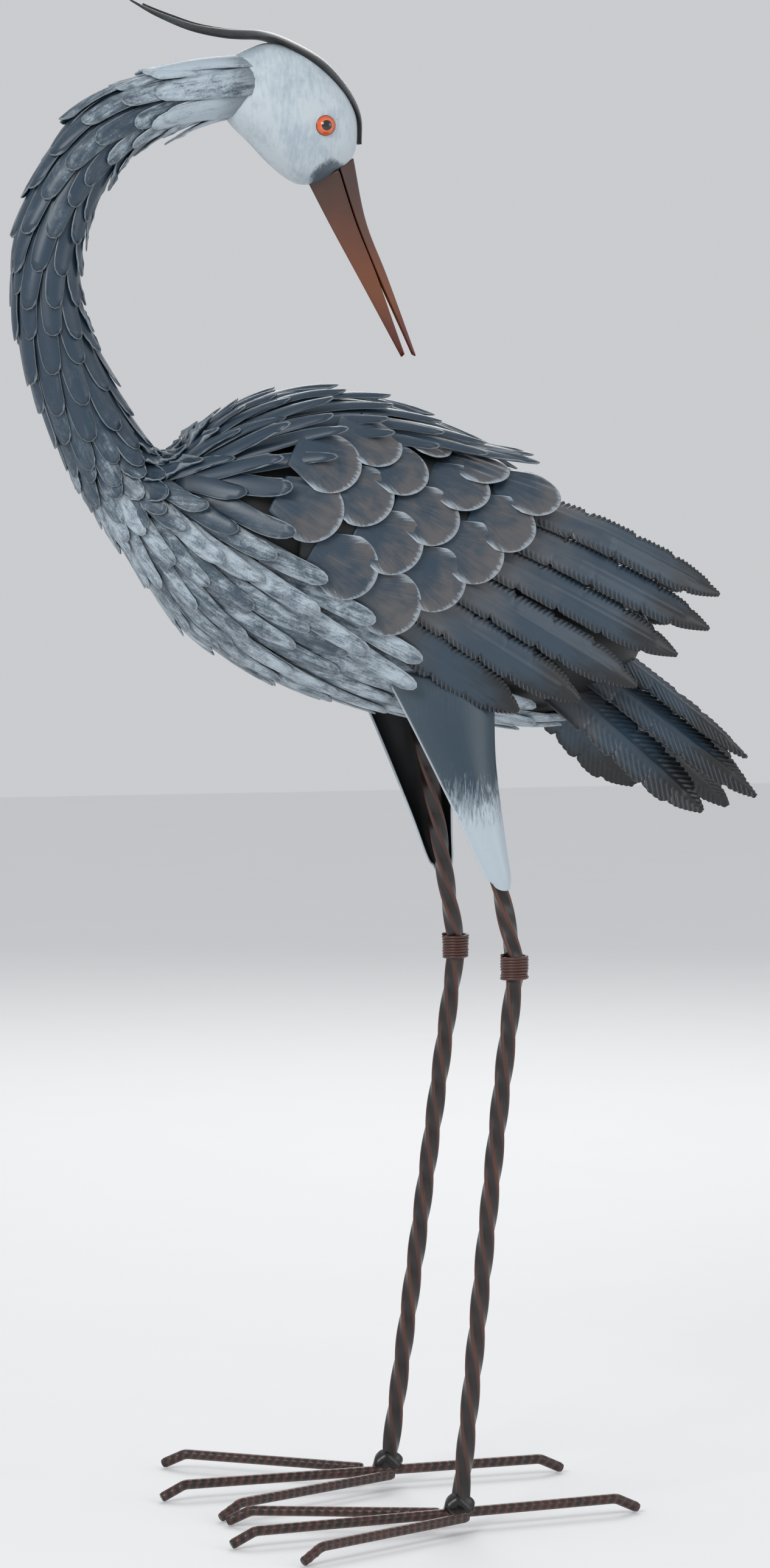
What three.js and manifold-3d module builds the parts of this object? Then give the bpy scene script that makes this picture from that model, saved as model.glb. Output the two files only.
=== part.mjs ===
// A garden heron welded from cut, stamped and painted sheet steel, standing on two twisted rod legs.
// Millimetres, +Z up. The tail points to +X, the bird's left side faces -Y, the ground is at z = 0.
import * as THREE from 'three';
import Module from 'manifold-3d';
import { mergeVertices } from 'three/addons/utils/BufferGeometryUtils.js';

const wasm = await Module();
wasm.setup();

// Driving dimensions
const GAP = 0.35; // clearance between neighbouring pieces
const LEFT = -1;
const RIGHT = 1;
const SHEET = 1.4; // thickness of the stamped flight and tail feathers
const ROD_CORNER = 5.7; // twisted square leg rod, axis to corner
const ROD_QUARTER_TURN = 29.4; // length of rod in which the square turns by 90 degrees
const TOE_RADIUS = 3.1; // ribbed bar of the toes
const TOE_HEIGHT = 10; // height of the straight part of a toe's axis
const TIP_HEIGHT = 1.8; // height of the axis at a toe's tip, so that a flat is left on the ground

// Sections of neck and body from the head to the rump: front or belly edge (x, z), back edge (x, z)
// and half width. The neck is the first seven, the body the rest.
const TRUNK = [
  { front: [-70, 884], back: [-86, 849], half: 18 },
  { front: [-114, 880], back: [-119, 843], half: 18 },
  { front: [-179, 857], back: [-159, 824], half: 19 },
  { front: [-217, 803], back: [-184, 785], half: 19 },
  { front: [-228, 746], back: [-190, 742], half: 19 },
  { front: [-217, 690], back: [-176, 702], half: 20 },
  { front: [-195, 641], back: [-152, 656], half: 23 },
  { front: [-178, 612], back: [-136, 643], half: 29 },
  { front: [-155, 582], back: [-115, 659], half: 42 },
  { front: [-124, 543], back: [-82, 677], half: 58 },
  { front: [-75, 514], back: [-28, 680], half: 68 },
  { front: [-20, 497], back: [26, 663], half: 72 },
  { front: [34, 487], back: [72, 635], half: 68 },
  { front: [88, 482], back: [113, 604], half: 58 },
  { front: [128, 492], back: [147, 566], half: 40 },
  { front: [152, 512], back: [160, 541], half: 22 },
];
const LAST = TRUNK.length - 1;
const SHOULDER = [-148, 638]; // where the neck meets the body, on the back edge
const SHOULDER_NORMAL = [0.8, -0.6]; // the parting plane's normal, towards the body

// A wing lies on a barrel-shaped surface whose axis runs down to the tail
const WING_SLOPE = THREE.MathUtils.degToRad(28);
const WING_ORIGIN = [0, 590];
const SCALE_RADIUS = 19;
const SCALE_THICKNESS = 2;

const COLOURS = {
  slate: new THREE.Color(0x35495a),
  pale: new THREE.Color(0xc3ccd2),
  dark: new THREE.Color(0x24313d),
  black: new THREE.Color(0x15181b),
  rust: new THREE.Color(0x4c2a1e),
  orange: new THREE.Color(0xd8531c),
};

const lerp = THREE.MathUtils.lerp;
const vector = (x, y, z) => new THREE.Vector3(x, y, z);

// Solids

// A closed solid from an indexed list of points, turned the right way out
function solidFrom(points, triangles) {
  const volume = triangles.reduce((sum, [a, b, c]) => {
    return sum + points[a].dot(new THREE.Vector3().crossVectors(points[b], points[c]));
  }, 0);
  const facing = volume > 0 ? triangles : triangles.map(([a, b, c]) => [a, c, b]);
  const geometry = new THREE.BufferGeometry().setFromPoints(points);
  geometry.setIndex(facing.flat());
  return solid(geometry);
}

// A three.js geometry as a solid for joining and cutting
function solid(geometry) {
  const bare = geometry.clone();
  bare.deleteAttribute('normal');
  bare.deleteAttribute('uv');
  const merged = mergeVertices(bare, 1e-4);
  return new wasm.Manifold(new wasm.Mesh({
    numProp: 3,
    vertProperties: new Float32Array(merged.attributes.position.array),
    triVerts: new Uint32Array(merged.index.array),
  }));
}

// The triangles of a solid as a three.js geometry
function geometryOf(body) {
  const mesh = body.getMesh();
  const geometry = new THREE.BufferGeometry();
  geometry.setAttribute('position', new THREE.BufferAttribute(mesh.vertProperties, 3));
  geometry.setIndex(new THREE.BufferAttribute(mesh.triVerts, 1));
  return geometry;
}

// The triangles of a ring's face, laid across it as a strip: each point is tied to the one opposite
function faceOf(count, offset, flip) {
  const triangles = [];
  for (let i = 0, j = count - 1; i + 1 < j; i += 1, j -= 1) {
    triangles.push([i, i + 1, j]);
    if (i + 1 < j - 1) triangles.push([i + 1, j - 1, j]);
  }
  return triangles.map(([a, b, c]) => (flip ? [a, c, b] : [a, b, c]).map((index) => index + offset));
}

// Joins rings of equally many points into a closed body. A ring of one point closes an end in a tip.
function loft(rings) {
  const points = rings.flat();
  const triangles = [];
  let start = 0;
  rings.slice(0, -1).forEach((ring, i) => {
    const next = rings[i + 1];
    const nextStart = start + ring.length;
    const count = Math.max(ring.length, next.length);
    for (let k = 0; k < count; k += 1) {
      const k2 = (k + 1) % count;
      const [a, b] = ring.length === 1 ? [start, start] : [start + k, start + k2];
      const [c, d] = next.length === 1 ? [nextStart, nextStart] : [nextStart + k, nextStart + k2];
      if (a !== b) triangles.push([a, b, c]);
      if (c !== d) triangles.push([b, d, c]);
    }
    start = nextStart;
  });
  triangles.push(...faceOf(rings[0].length, 0, true), ...faceOf(rings.at(-1).length, start, false));
  return solidFrom(points, triangles);
}

// A flat plate: an outline and its thickness as a vector
function plate(outline, thickness) {
  return loft([outline, outline.map((point) => point.clone().add(thickness))]);
}

// A bar of a given number of sides along a path, with an optional twist
function bar(path, radius, sides, steps, twistAt = () => 0) {
  const rings = [];
  for (let i = 0; i <= steps; i += 1) {
    const along = path.getTangentAt(i / steps);
    const u = new THREE.Vector3().crossVectors(vector(0, 1, 0), along).normalize();
    const v = new THREE.Vector3().crossVectors(along, u);
    const centre = path.getPointAt(i / steps);
    rings.push(Array.from({ length: sides }, (_, k) => {
      const angle = (2 * Math.PI * (k + 0.5)) / sides + twistAt(path.getLength() * i / steps);
      return centre.clone().addScaledVector(u, radius * Math.cos(angle)).addScaledVector(v, radius * Math.sin(angle));
    }));
  }
  return loft(rings);
}

// A path of straight stretches
function polyline(points) {
  const path = new THREE.CurvePath();
  points.slice(1).forEach((point, i) => path.add(new THREE.LineCurve3(points[i], point)));
  return path;
}

// A round bar along straight stretches, with one ring at each corner
function bentBar(points, radius, sides, level = vector(0, 0, 1)) {
  const rings = points.map((point, i) => {
    const before = point.clone().sub(points[Math.max(i - 1, 0)]).normalize();
    const after = points[Math.min(i + 1, points.length - 1)].clone().sub(point).normalize();
    const along = before.add(after).normalize();
    const u = new THREE.Vector3().crossVectors(level, along).normalize();
    const v = new THREE.Vector3().crossVectors(along, u);
    return Array.from({ length: sides }, (_, k) => {
      const angle = (2 * Math.PI * (k + 0.5)) / sides;
      return point.clone().addScaledVector(u, radius * Math.cos(angle)).addScaledVector(v, radius * Math.sin(angle));
    });
  });
  return loft(rings);
}

function joined(solids) {
  return solids.reduce((sum, piece) => sum.add(piece));
}

function without(body, cutters) {
  return cutters.reduce((rest, cutter) => rest.subtract(cutter), body);
}

// The largest connected piece, once slivers are cut off
function largest(body) {
  return body.decompose().reduce((best, piece) => (piece.volume() > best.volume() ? piece : best));
}

// A large block that reaches from a plane towards its normal
function halfSpace(point, normal) {
  const size = 2000;
  const block = new THREE.BoxGeometry(size, size, size);
  block.translate(0, 0, size / 2);
  block.applyQuaternion(new THREE.Quaternion().setFromUnitVectors(vector(0, 0, 1), normal));
  block.translate(point.x, point.y, point.z);
  return solid(block);
}

// Neck and body

const frontEdge = new THREE.CatmullRomCurve3(TRUNK.map(({ front, half }) => vector(front[0], half, front[1])));
const backEdge = new THREE.CatmullRomCurve3(TRUNK.map(({ back }) => vector(back[0], 0, back[1])));

// The skin of neck and body: s counts the sections, angle 0 is the front or belly, PI the back,
// and positive angles are on the left side
function skin(s, angle, grow = 0) {
  const t = THREE.MathUtils.clamp(s / LAST, 0, 1);
  const front = frontEdge.getPoint(t);
  const half = front.y + grow;
  front.y = 0;
  const back = backEdge.getPoint(t);
  const centre = front.clone().add(back).multiplyScalar(0.5);
  const reach = front.clone().sub(back).multiplyScalar(0.5);
  reach.setLength(reach.length() + grow);
  return centre.addScaledVector(reach, Math.cos(angle)).add(vector(0, -half * Math.sin(angle), 0));
}

// Position, directions and outward normal at a place of the skin
function skinFrame(s, angle) {
  const e = 0.02;
  const point = skin(s, angle);
  const along = skin(s + e, angle).sub(skin(s - e, angle)).divideScalar(2 * e);
  const round = skin(s, angle + e).sub(skin(s, angle - e)).divideScalar(2 * e);
  const normal = new THREE.Vector3().crossVectors(along, round).normalize();
  return { point, along, round, normal };
}

function trunkCore(grow = 0) {
  const sides = 10;
  const steps = Math.round(1.3 * LAST);
  const rings = [];
  for (let i = 0; i <= steps; i += 1) {
    const s = (LAST * i) / steps;
    rings.push(Array.from({ length: sides }, (_, k) => skin(s, (2 * Math.PI * k) / sides, grow)));
  }
  return loft(rings);
}

// One feather cut from flat sheet: its root is sunk in the skin and its tip stands off it
function skinFeather({ s, angle, length, width, lift, sway }) {
  const thickness = 2;
  const sunk = -3.4;
  const root = skinFrame(s, angle);
  const tip = skinFrame(s + length / root.along.length(), angle + sway / root.round.length());
  const start = root.point.addScaledVector(root.normal, sunk);
  const end = tip.point.addScaledVector(tip.normal, lift);
  const along = end.clone().sub(start);
  const across = root.round.normalize();
  across.addScaledVector(along, -across.dot(along) / along.lengthSq()).normalize();
  const down = new THREE.Vector3().crossVectors(across, along).setLength(thickness);
  if (down.dot(root.normal) > 0) down.negate();
  const outline = [[0.08, 0.42], [0.66, 0.5], [1, 0.06], [0.66, -0.5], [0.08, -0.42]];
  const top = outline.map(([u, v]) => start.clone().addScaledVector(along, u).addScaledVector(across, v * width));
  return plate(top, down);
}

// Where a place of the skin lies on the wing's chart
function wingChart(point) {
  const dx = point.x - WING_ORIGIN[0];
  const dz = point.z - WING_ORIGIN[1];
  return {
    a: dx * Math.cos(WING_SLOPE) - dz * Math.sin(WING_SLOPE),
    c: dx * Math.sin(WING_SLOPE) + dz * Math.cos(WING_SLOPE),
  };
}

function underWing(point) {
  const { a, c } = wingChart(point);
  const bottom = a < -10 ? -48 : -74;
  return a > -76 && c > bottom && c < 84 && Math.abs(point.y) > 18;
}

// Rows of feathers round neck and body, each row turned half a feather against the last
function skinFeathers() {
  const feathers = [];
  const addRow = (s, row, pitch, length, lift) => {
    const girth = skinFrame(s, Math.PI / 2).round.length() * Math.PI + skinFrame(s, 0).round.length() * Math.PI;
    const count = Math.round(girth / pitch);
    for (let k = 0; k < count; k += 1) {
      const angle = (2 * Math.PI * (k + (row % 2) / 2)) / count;
      const { point, along, normal } = skinFrame(s, angle);
      const tip = point.clone().addScaledVector(along, (0.8 * length) / along.length());
      if (underWing(tip) || tip.x > 122) continue;
      const up = Math.max(normal.z, 0) * (s > 8 ? 4 : 0);
      const side = Math.sin(angle) >= 0 ? 1 : -1;
      feathers.push({ s, angle, length, width: pitch * 0.86, lift: lift + up, sway: 2.2 * side });
    }
  };
  const neckRows = 7;
  for (let row = 0; row < neckRows; row += 1) {
    addRow(0.8 + row * 0.9, row, lerp(23, 25, row / neckRows), 50, 7.4);
  }
  const bodyRows = 7;
  for (let row = 0; row < bodyRows; row += 1) {
    addRow(7 + row * 0.98, row + 1, lerp(30, 44, row / bodyRows), 68, row < 4 ? 8 : 6);
  }
  return feathers.map(skinFeather);
}

// Wings

// A place on the wing: a runs down the wing to the tail, c up to the back, lift stands off the surface
function wingPoint(side, a, c, lift = 0) {
  const rear = THREE.MathUtils.clamp(a / 110, 0, 1);
  const tall = lerp(84, 106, rear);
  const level = lerp(-12, 0, rear);
  const wide = 80 - 30 * Math.max(a, 0) ** 2 / 40000 - 20 * Math.min(a, 0) ** 2 / 14400;
  const angle = Math.asin(THREE.MathUtils.clamp((c - level) / tall, -0.98, 0.98));
  const out = (wide + lift) * Math.cos(angle);
  const up = level + (tall + lift) * Math.sin(angle);
  return vector(
    WING_ORIGIN[0] + a * Math.cos(WING_SLOPE) + up * Math.sin(WING_SLOPE),
    side * out,
    WING_ORIGIN[1] - a * Math.sin(WING_SLOPE) + up * Math.cos(WING_SLOPE),
  );
}

// Centres of the rounded covert scales on the wing's chart: five slanting rows and an arc at the shoulder
function scaleCentres() {
  const rows = [2, 3, 3, 3, 2];
  const centres = [];
  rows.forEach((count, row) => {
    const rise = row === rows.length - 1 ? 0 : 1;
    for (let k = 0; k < count; k += 1) {
      const a = -2 + 18.3 * row - 1.25 * row * row - 36.5 * k + 3 * k * k;
      centres.push({ a, c: -37 + 25.5 * row + rise * (2.2 * k + 4.9 * k * k) });
    }
  });
  const shoulder = [204, 163, 120];
  shoulder.forEach((degrees) => {
    const angle = THREE.MathUtils.degToRad(degrees);
    centres.push({ a: -30 + 43 * Math.cos(angle), c: 8 + 43 * Math.sin(angle) });
  });
  return centres;
}

// One flat scale: narrow and sunk at its front, standing off at its round rear edge
function coverScale(side, { a, c }, grow = 0) {
  const r = SCALE_RADIUS + grow;
  const outline = [[-1, 0.3], [0, 1], [0.71, 0.71], [1, 0], [0.71, -0.71], [0, -1], [-1, -0.3]];
  const centre = wingPoint(side, a, c, 0.3 + grow);
  const across = wingPoint(side, a, c + 1).sub(wingPoint(side, a, c - 1)).normalize();
  const level = wingPoint(side, a + 1, c).sub(wingPoint(side, a - 1, c)).normalize();
  const out = new THREE.Vector3().crossVectors(level, across).normalize();
  if (out.y * side < 0) out.negate();
  const along = level.addScaledVector(out, 0.14).normalize();
  const down = new THREE.Vector3().crossVectors(along, across).setLength(SCALE_THICKNESS + 2 * grow);
  if (down.dot(out) > 0) down.negate();
  const top = outline.map(([u, v]) => centre.clone().addScaledVector(along, u * r).addScaledVector(across, v * r));
  return plate(top, down);
}

// The rear edge of the panel that carries the scales
const panelRear = (c) => -2 + 0.5 * (c + 37);

// The lift at which a line from the wing's surface inwards meets the skin of the body
function liftOfSkin(side, a, c) {
  const inside = (point) => {
    for (let s = 7; s < LAST; s += 0.1) {
      const front = skin(s, 0);
      const back = skin(s, Math.PI);
      const reach = front.clone().sub(back);
      const height = point.clone().sub(back).dot(reach) / reach.lengthSq();
      const level = back.clone().lerp(front, height);
      const ahead = skin(s + 0.1, 0).lerp(skin(s + 0.1, Math.PI), 1 - height).sub(level);
      const beyond = vector(point.x - level.x, 0, point.z - level.z).dot(ahead) / ahead.lengthSq();
      if (beyond > 1 || height < 0 || height > 1) continue;
      const half = skin(s, -Math.PI / 2).y;
      return Math.abs(point.y) < half * Math.sqrt(1 - (2 * height - 1) ** 2);
    }
    return false;
  };
  let lift = -5;
  while (lift > -24 && !inside(wingPoint(side, a, c, lift))) lift -= 0.5;
  return lift + 1;
}

// The panel under the scales, whose back follows the body
function covertPanel(side, grow = 0) {
  const rings = [];
  const steps = 4;
  const columns = 4;
  for (let j = 0; j <= steps; j += 1) {
    const c = lerp(-48, 68, j / steps);
    const front = -58 - 18 * Math.sin((Math.PI * (c + 48)) / 116);
    const places = Array.from({ length: columns }, (_, i) => lerp(front, panelRear(c) - 1, i / (columns - 1)));
    const spread = (a, i) => a + grow * (2 * (i / (columns - 1)) - 1);
    const c2 = c + grow * (2 * (j / steps) - 1);
    const outer = places.map((a, i) => wingPoint(side, spread(a, i), c2, grow - 1.8));
    const inner = places.map((a, i) => wingPoint(side, spread(a, i), c2, liftOfSkin(side, a, c) - grow));
    rings.push([...outer, ...inner.toReversed()]);
  }
  return loft(rings);
}

// A long stamped feather: a folded blade with notches in its edges. place(t, v, lift) gives a point
// at t along the feather and v across it.
function stampedFeather(place) {
  const edges = [
    [0, 0.7, 0.7], [0.38, 1, 1], [0.43, 0.66, 1], [0.5, 0.98, 0.97], [0.64, 0.92, 0.64],
    [0.7, 0.88, 0.9], [0.9, 0.62, 0.62], [1, 0.12, 0.12],
  ];
  const rings = edges.map(([t, upper, lower]) => {
    const top = [place(t, upper, 0), place(t, 0, 1.1), place(t, -lower, 0)];
    const bottom = [place(t, -lower, -SHEET), place(t, 0, 1.1 - SHEET), place(t, upper, -SHEET)];
    return [...top, ...bottom];
  });
  return loft(rings);
}

// The six flight feathers of a wing, the first one on top: root and tip on the wing's chart, half width
function flightFeatherSizes() {
  const tips = [[192, 70], [194, 47], [181, 22], [166, -8], [137, -33], [106, -57]];
  return tips.map(([a, c], i) => {
    const rootC = lerp(64, -49, i / (tips.length - 1));
    return { rootC, rootA: panelRear(rootC) + 1, tipA: a, tipC: c, half: 12.5 };
  });
}

function flightFeather(side, { rootA, rootC, tipA, tipC, half }, grow = 0) {
  return stampedFeather((t, v, lift) => {
    const c = lerp(rootC, tipC, t) + v * (half + grow);
    const shingle = -1.8 * v - lerp(7.8, 2.6, Math.min(1, 2.5 * t));
    return wingPoint(side, lerp(rootA - grow, tipA + grow, t), c, shingle + lift + Math.sign(lift + 0.1) * grow);
  });
}

// Tail: three stamped feathers a side in a roof-shaped fan, from the top pair down
const TAIL = [
  { root: [112, 10, 548], tip: [222, 40, 464], half: 13, turn: 34 },
  { root: [104, 17, 532], tip: [222, 56, 441], half: 15, turn: 46 },
  { root: [92, 24, 516], tip: [186, 60, 432], half: 16, turn: 58 },
];
const RIGHT_TAIL_REACH = [30, 24, -14]; // how much further back the right feathers reach

function tailFeather(side, { root, tip, half, turn }, reach) {
  const start = vector(root[0], side * root[1], root[2]);
  const end = vector(tip[0], side * tip[1], tip[2]);
  const along = end.clone().sub(start).normalize();
  end.addScaledVector(along, reach);
  const angle = THREE.MathUtils.degToRad(turn);
  const across = vector(0, -side * Math.cos(angle), Math.sin(angle));
  across.addScaledVector(along, -across.dot(along)).normalize();
  const out = new THREE.Vector3().crossVectors(along, across).multiplyScalar(-side).normalize();
  return stampedFeather((t, v, lift) => {
    const spread = half * Math.min(1, 0.45 + 1.6 * t);
    const droop = -5 * t * t;
    return start.clone().lerp(end, t).addScaledVector(across, v * spread).addScaledVector(out, lift + droop);
  });
}

// Head, crest, beak and eyes

const HEAD_CENTRE = [-56, 850];
const HEAD_HALF_WIDTH = 24;
const HEAD_OUTLINE = [
  [-104, 876], [-78, 890], [-59, 888.5], [-43.8, 880.6], [-28.4, 865.4], [-20.3, 851.2], [-18.7, 838], [-20.4, 826],
  [-28, 817.5], [-42, 809], [-55, 808], [-69, 817], [-83, 831], [-104, 848],
];

// The head is domed on both sides of its outline
function headSolid(grow = 0) {
  const [cx, cz] = HEAD_CENTRE;
  const levels = [80, 58, 34, 12, -12, -34, -58, -80].map((d) => THREE.MathUtils.degToRad(d));
  const ringAt = (level) => HEAD_OUTLINE.map(([x, z]) => {
    const shrink = Math.cos(level) ** 0.8;
    const reach = Math.hypot(x - cx, z - cz);
    const out = (shrink * (reach + grow)) / reach;
    return vector(cx + (x - cx) * out, (HEAD_HALF_WIDTH + grow) * Math.sin(level), cz + (z - cz) * out);
  });
  const pole = (y) => [vector(cx, y, cz)];
  return loft([pole(HEAD_HALF_WIDTH + grow), ...levels.map(ringAt), pole(-HEAD_HALF_WIDTH - grow)]);
}

const EYE = { x: -43, z: 842, radius: 6.2 };

// A ringed glass eye set in the side of the head
function eyeSolid(side, grow = 0) {
  const depth = 17.5;
  const r = EYE.radius;
  const profile = [[0, -grow], [r + grow, -grow], [r + grow, 6.5], [r * 0.62, 8.4], [0, 9.6]];
  const geometry = new THREE.LatheGeometry(profile.map(([x, y]) => new THREE.Vector2(x, y)), 12);
  if (side === LEFT) geometry.rotateX(Math.PI);
  geometry.translate(EYE.x, side * depth, EYE.z);
  return solid(geometry);
}

// Ridge line of the crest from the beak's root over the crown into the plume: x, z, half width, fall of
// the edges below the ridge
const CREST = [
  [-15.6, 832, 3, 0.6], [-16.4, 849, 9, 2.4], [-24.3, 865.4, 12, 3.6], [-39.2, 881.6, 13.5, 3.9],
  [-59.8, 893, 12, 4.2], [-76, 898, 9, 4.6], [-97, 899, 6.5, 4.4], [-116, 902, 5.5, 4],
  [-132, 907, 4.5, 3.4], [-146, 912, 3, 2], [-157, 917, 1, 0.6],
];

function crestSolid() {
  const thickness = 1.4;
  const rings = CREST.map(([x, z, half, fall], i) => {
    const [x0, z0] = CREST[Math.max(i - 1, 0)];
    const [x1, z1] = CREST[Math.min(i + 1, CREST.length - 1)];
    const along = vector(x1 - x0, 0, z1 - z0).normalize();
    const out = vector(along.z, 0, -along.x);
    const at = (v, depth) => vector(x, v * half, z).addScaledVector(out, -fall * Math.abs(v) - depth);
    const places = [-1, 0, 1];
    return [...places.map((v) => at(v, 0)), ...places.toReversed().map((v) => at(v, thickness))];
  });
  return loft(rings);
}

// A beak half is a folded sheet: its ridge runs outside, its two edges face the other half
function beakHalf(ridge, edge, halfWidth) {
  const wall = 1.5;
  const rings = ridge.map(([x, z], i) => {
    const t = i / (ridge.length - 1);
    const [ex, ez] = edge[i];
    const half = lerp(halfWidth, 1.6, t ** 0.9);
    const inward = vector(ex - x, 0, ez - z);
    const inner = vector(x, 0, z).addScaledVector(inward.clone().normalize(), wall * 1.2);
    return [
      vector(ex, half, ez), vector(x, 0, z), vector(ex, -half, ez),
      vector(ex, -half + wall * 0.6, ez), inner, vector(ex, half - wall * 0.6, ez),
    ];
  });
  return loft(rings);
}

const lowerBeak = () => beakHalf(
  [[-50, 810], [-34, 781], [-14, 746], [10, 704]],
  [[-31.5, 816], [-20, 784], [-6, 752], [11.5, 705.5]], 9.5,
);
const upperBeak = () => beakHalf(
  [[-19, 824], [-11.5, 786], [2, 752], [19.5, 705]],
  [[-30, 818.5], [-18.3, 785.6], [-4, 752.5], [17.8, 706]], 8,
);

// Legs and feet. Places are given for each side, left first.

const LEG_PATH = {
  [LEFT]: [[31, -49.5, 500], [42, -54, 450], [55, -60, 388], [63, -69, 338], [48, -73, 220], [26, -77, 13.6]],
  [RIGHT]: [[30, 49.5, 500], [43, 54, 445], [54, 60, 388], [65, 69, 338], [49, 70, 220], [21, 70, 13.6]],
};
const KNEE = 3;

const TOES = {
  [LEFT]: {
    long: [[145, -55], [130, -59], [-106, -99], [-121, -101]],
    inner: [[14, -74], [-94, -38], [-107, -32]],
    outer: [[26, -92], [-79, -153], [-92, -160]],
  },
  [RIGHT]: {
    long: [[137, 80], [122, 77], [-114, 52], [-129, 50]],
    inner: [[18, 50], [-94, -13], [-108, -20]],
    outer: [[6, 78], [-91, 151], [-103, 160]],
  },
};

// The rod's axis, bent tightly at the knee and gently elsewhere
function legPoints(side) {
  const points = LEG_PATH[side].map(([x, y, z]) => vector(x, y, z));
  const upper = new THREE.CatmullRomCurve3(points.slice(0, KNEE + 1));
  const lower = new THREE.CatmullRomCurve3(points.slice(KNEE));
  return [...upper.getPoints(5), ...lower.getPoints(6).slice(1)];
}

function legRod(side) {
  const path = polyline(legPoints(side));
  const stepsPerQuarter = 3;
  const steps = Math.round((stepsPerQuarter * path.getLength()) / ROD_QUARTER_TURN);
  return bar(path, ROD_CORNER, 4, steps, (length) => (-Math.PI / 2) * (length / ROD_QUARTER_TURN));
}

function legEnvelope(side) {
  return bentBar(legPoints(side), ROD_CORNER + 2 * GAP, 10, vector(0, 1, 0));
}

// The lump of weld where the rod meets the toes
function footWeld(side) {
  const [x, y, z] = LEG_PATH[side].at(-1);
  const lump = new THREE.SphereGeometry(1, 7, 4);
  lump.scale(10, 8.5, 8.5);
  lump.translate(x - 1, y, z);
  return solid(lump);
}

// A toe's points: at full height except where the tips are bent down
function toePoints(side, name) {
  const flat = TOES[side][name];
  const isTip = (i) => i === flat.length - 1 || (name === 'long' && i === 0);
  return flat.map(([x, y], i) => vector(x, y, isTip(i) ? TIP_HEIGHT : TOE_HEIGHT));
}

function toeSolid(side, name, grow = 0) {
  return bentBar(toePoints(side, name), TOE_RADIUS + grow, 8);
}

// Binding wire at the knee: a stack of rounded turns
function kneeWire(side) {
  const turns = 4;
  const wire = 3.9;
  const radius = 8.6;
  const profile = [new THREE.Vector2(0, 0)];
  for (let turn = 0; turn < turns; turn += 1) {
    profile.push(new THREE.Vector2(radius - 0.9, turn * wire), new THREE.Vector2(radius, (turn + 0.5) * wire));
  }
  profile.push(new THREE.Vector2(radius - 0.9, turns * wire), new THREE.Vector2(0, turns * wire));
  const geometry = new THREE.LatheGeometry(profile, 8);
  geometry.rotateX(Math.PI / 2);
  geometry.translate(0, 0, (-turns * wire) / 2);
  const [x, y, z] = LEG_PATH[side][KNEE];
  geometry.translate(x - 1, y, z);
  return solid(geometry);
}

// A thigh is half a cone of sheet open towards the midline, from the belly down to the rod:
// front edge (x, z), back edge (x, z), distance of the edges from the midline, bulge
const THIGH = [
  { front: [-14, 518], back: [57, 506], edge: 42, bulge: 15 },
  { front: [6, 478], back: [56, 462], edge: 48, bulge: 14.5 },
  { front: [31, 424], back: [59, 416], edge: 58, bulge: 11.5 },
  { front: [43, 396], back: [61, 393], edge: 63.5, bulge: 8 },
  { front: [49.5, 385], back: [60, 384], edge: 66.8, bulge: 3.8 },
];

function thighShell(side, grow = 0) {
  const wall = 1.8;
  const sides = 4;
  const rings = THIGH.map(({ front, back, edge, bulge }, row) => {
    const fall = row === THIGH.length - 1 ? grow : 0;
    const at = (k, inset) => {
      const angle = Math.PI * (k / sides);
      const across = (1 - Math.cos(angle)) / 2;
      const widen = Math.sign(k - sides / 2) * (k === 0 || k === sides ? grow : 0);
      return vector(
        lerp(front[0], back[0], across) + widen + inset * 0.8 * Math.cos(angle),
        side * (edge + (bulge - inset) * Math.sin(angle)),
        lerp(front[1], back[1], across) - fall,
      );
    };
    const outer = Array.from({ length: sides + 1 }, (_, k) => at(k, -grow));
    const inner = Array.from({ length: sides + 1 }, (_, k) => at(sides - k, wall + grow));
    return [...outer, ...inner];
  });
  return loft(rings);
}

// Assembly

const heron = new THREE.Group();

function add(name, body, colour, roughness = 0.5, metalness = 0.4) {
  const material = new THREE.MeshStandardMaterial({ color: COLOURS[colour], roughness, metalness });
  const mesh = new THREE.Mesh(geometryOf(body), material);
  mesh.name = name;
  heron.add(mesh);
}

const sideName = { [LEFT]: 'left', [RIGHT]: 'right' };
const sides = [LEFT, RIGHT];

const grownHead = headSolid(GAP);
const grownThighs = sides.map((side) => thighShell(side, GAP));
const grownLegs = sides.map(legEnvelope);
const grownCore = trunkCore(GAP);
const trunk = joined([trunkCore(), ...skinFeathers()]);

const [px, pz] = SHOULDER;
const towardsBody = vector(SHOULDER_NORMAL[0], 0, SHOULDER_NORMAL[1]);
const partingAt = (distance) => vector(px, 0, pz).addScaledVector(towardsBody, distance);
const neckSide = halfSpace(partingAt(-GAP / 2), towardsBody.clone().negate());
const bodySide = halfSpace(partingAt(GAP / 2), towardsBody);

const wings = sides.map((side) => {
  const flights = flightFeatherSizes();
  const panel = joined([covertPanel(side), ...scaleCentres().map((at) => coverScale(side, at))]);
  return { side, panel: largest(panel), flights: flights.map((size) => flightFeather(side, size)) };
});
const tail = sides.flatMap((side) => TAIL.map((size, i) => {
  const body = tailFeather(side, size, side === RIGHT ? RIGHT_TAIL_REACH[i] : 0);
  return { name: `${sideName[side]}_tail_feather_${i + 1}`, body };
}));

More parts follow.
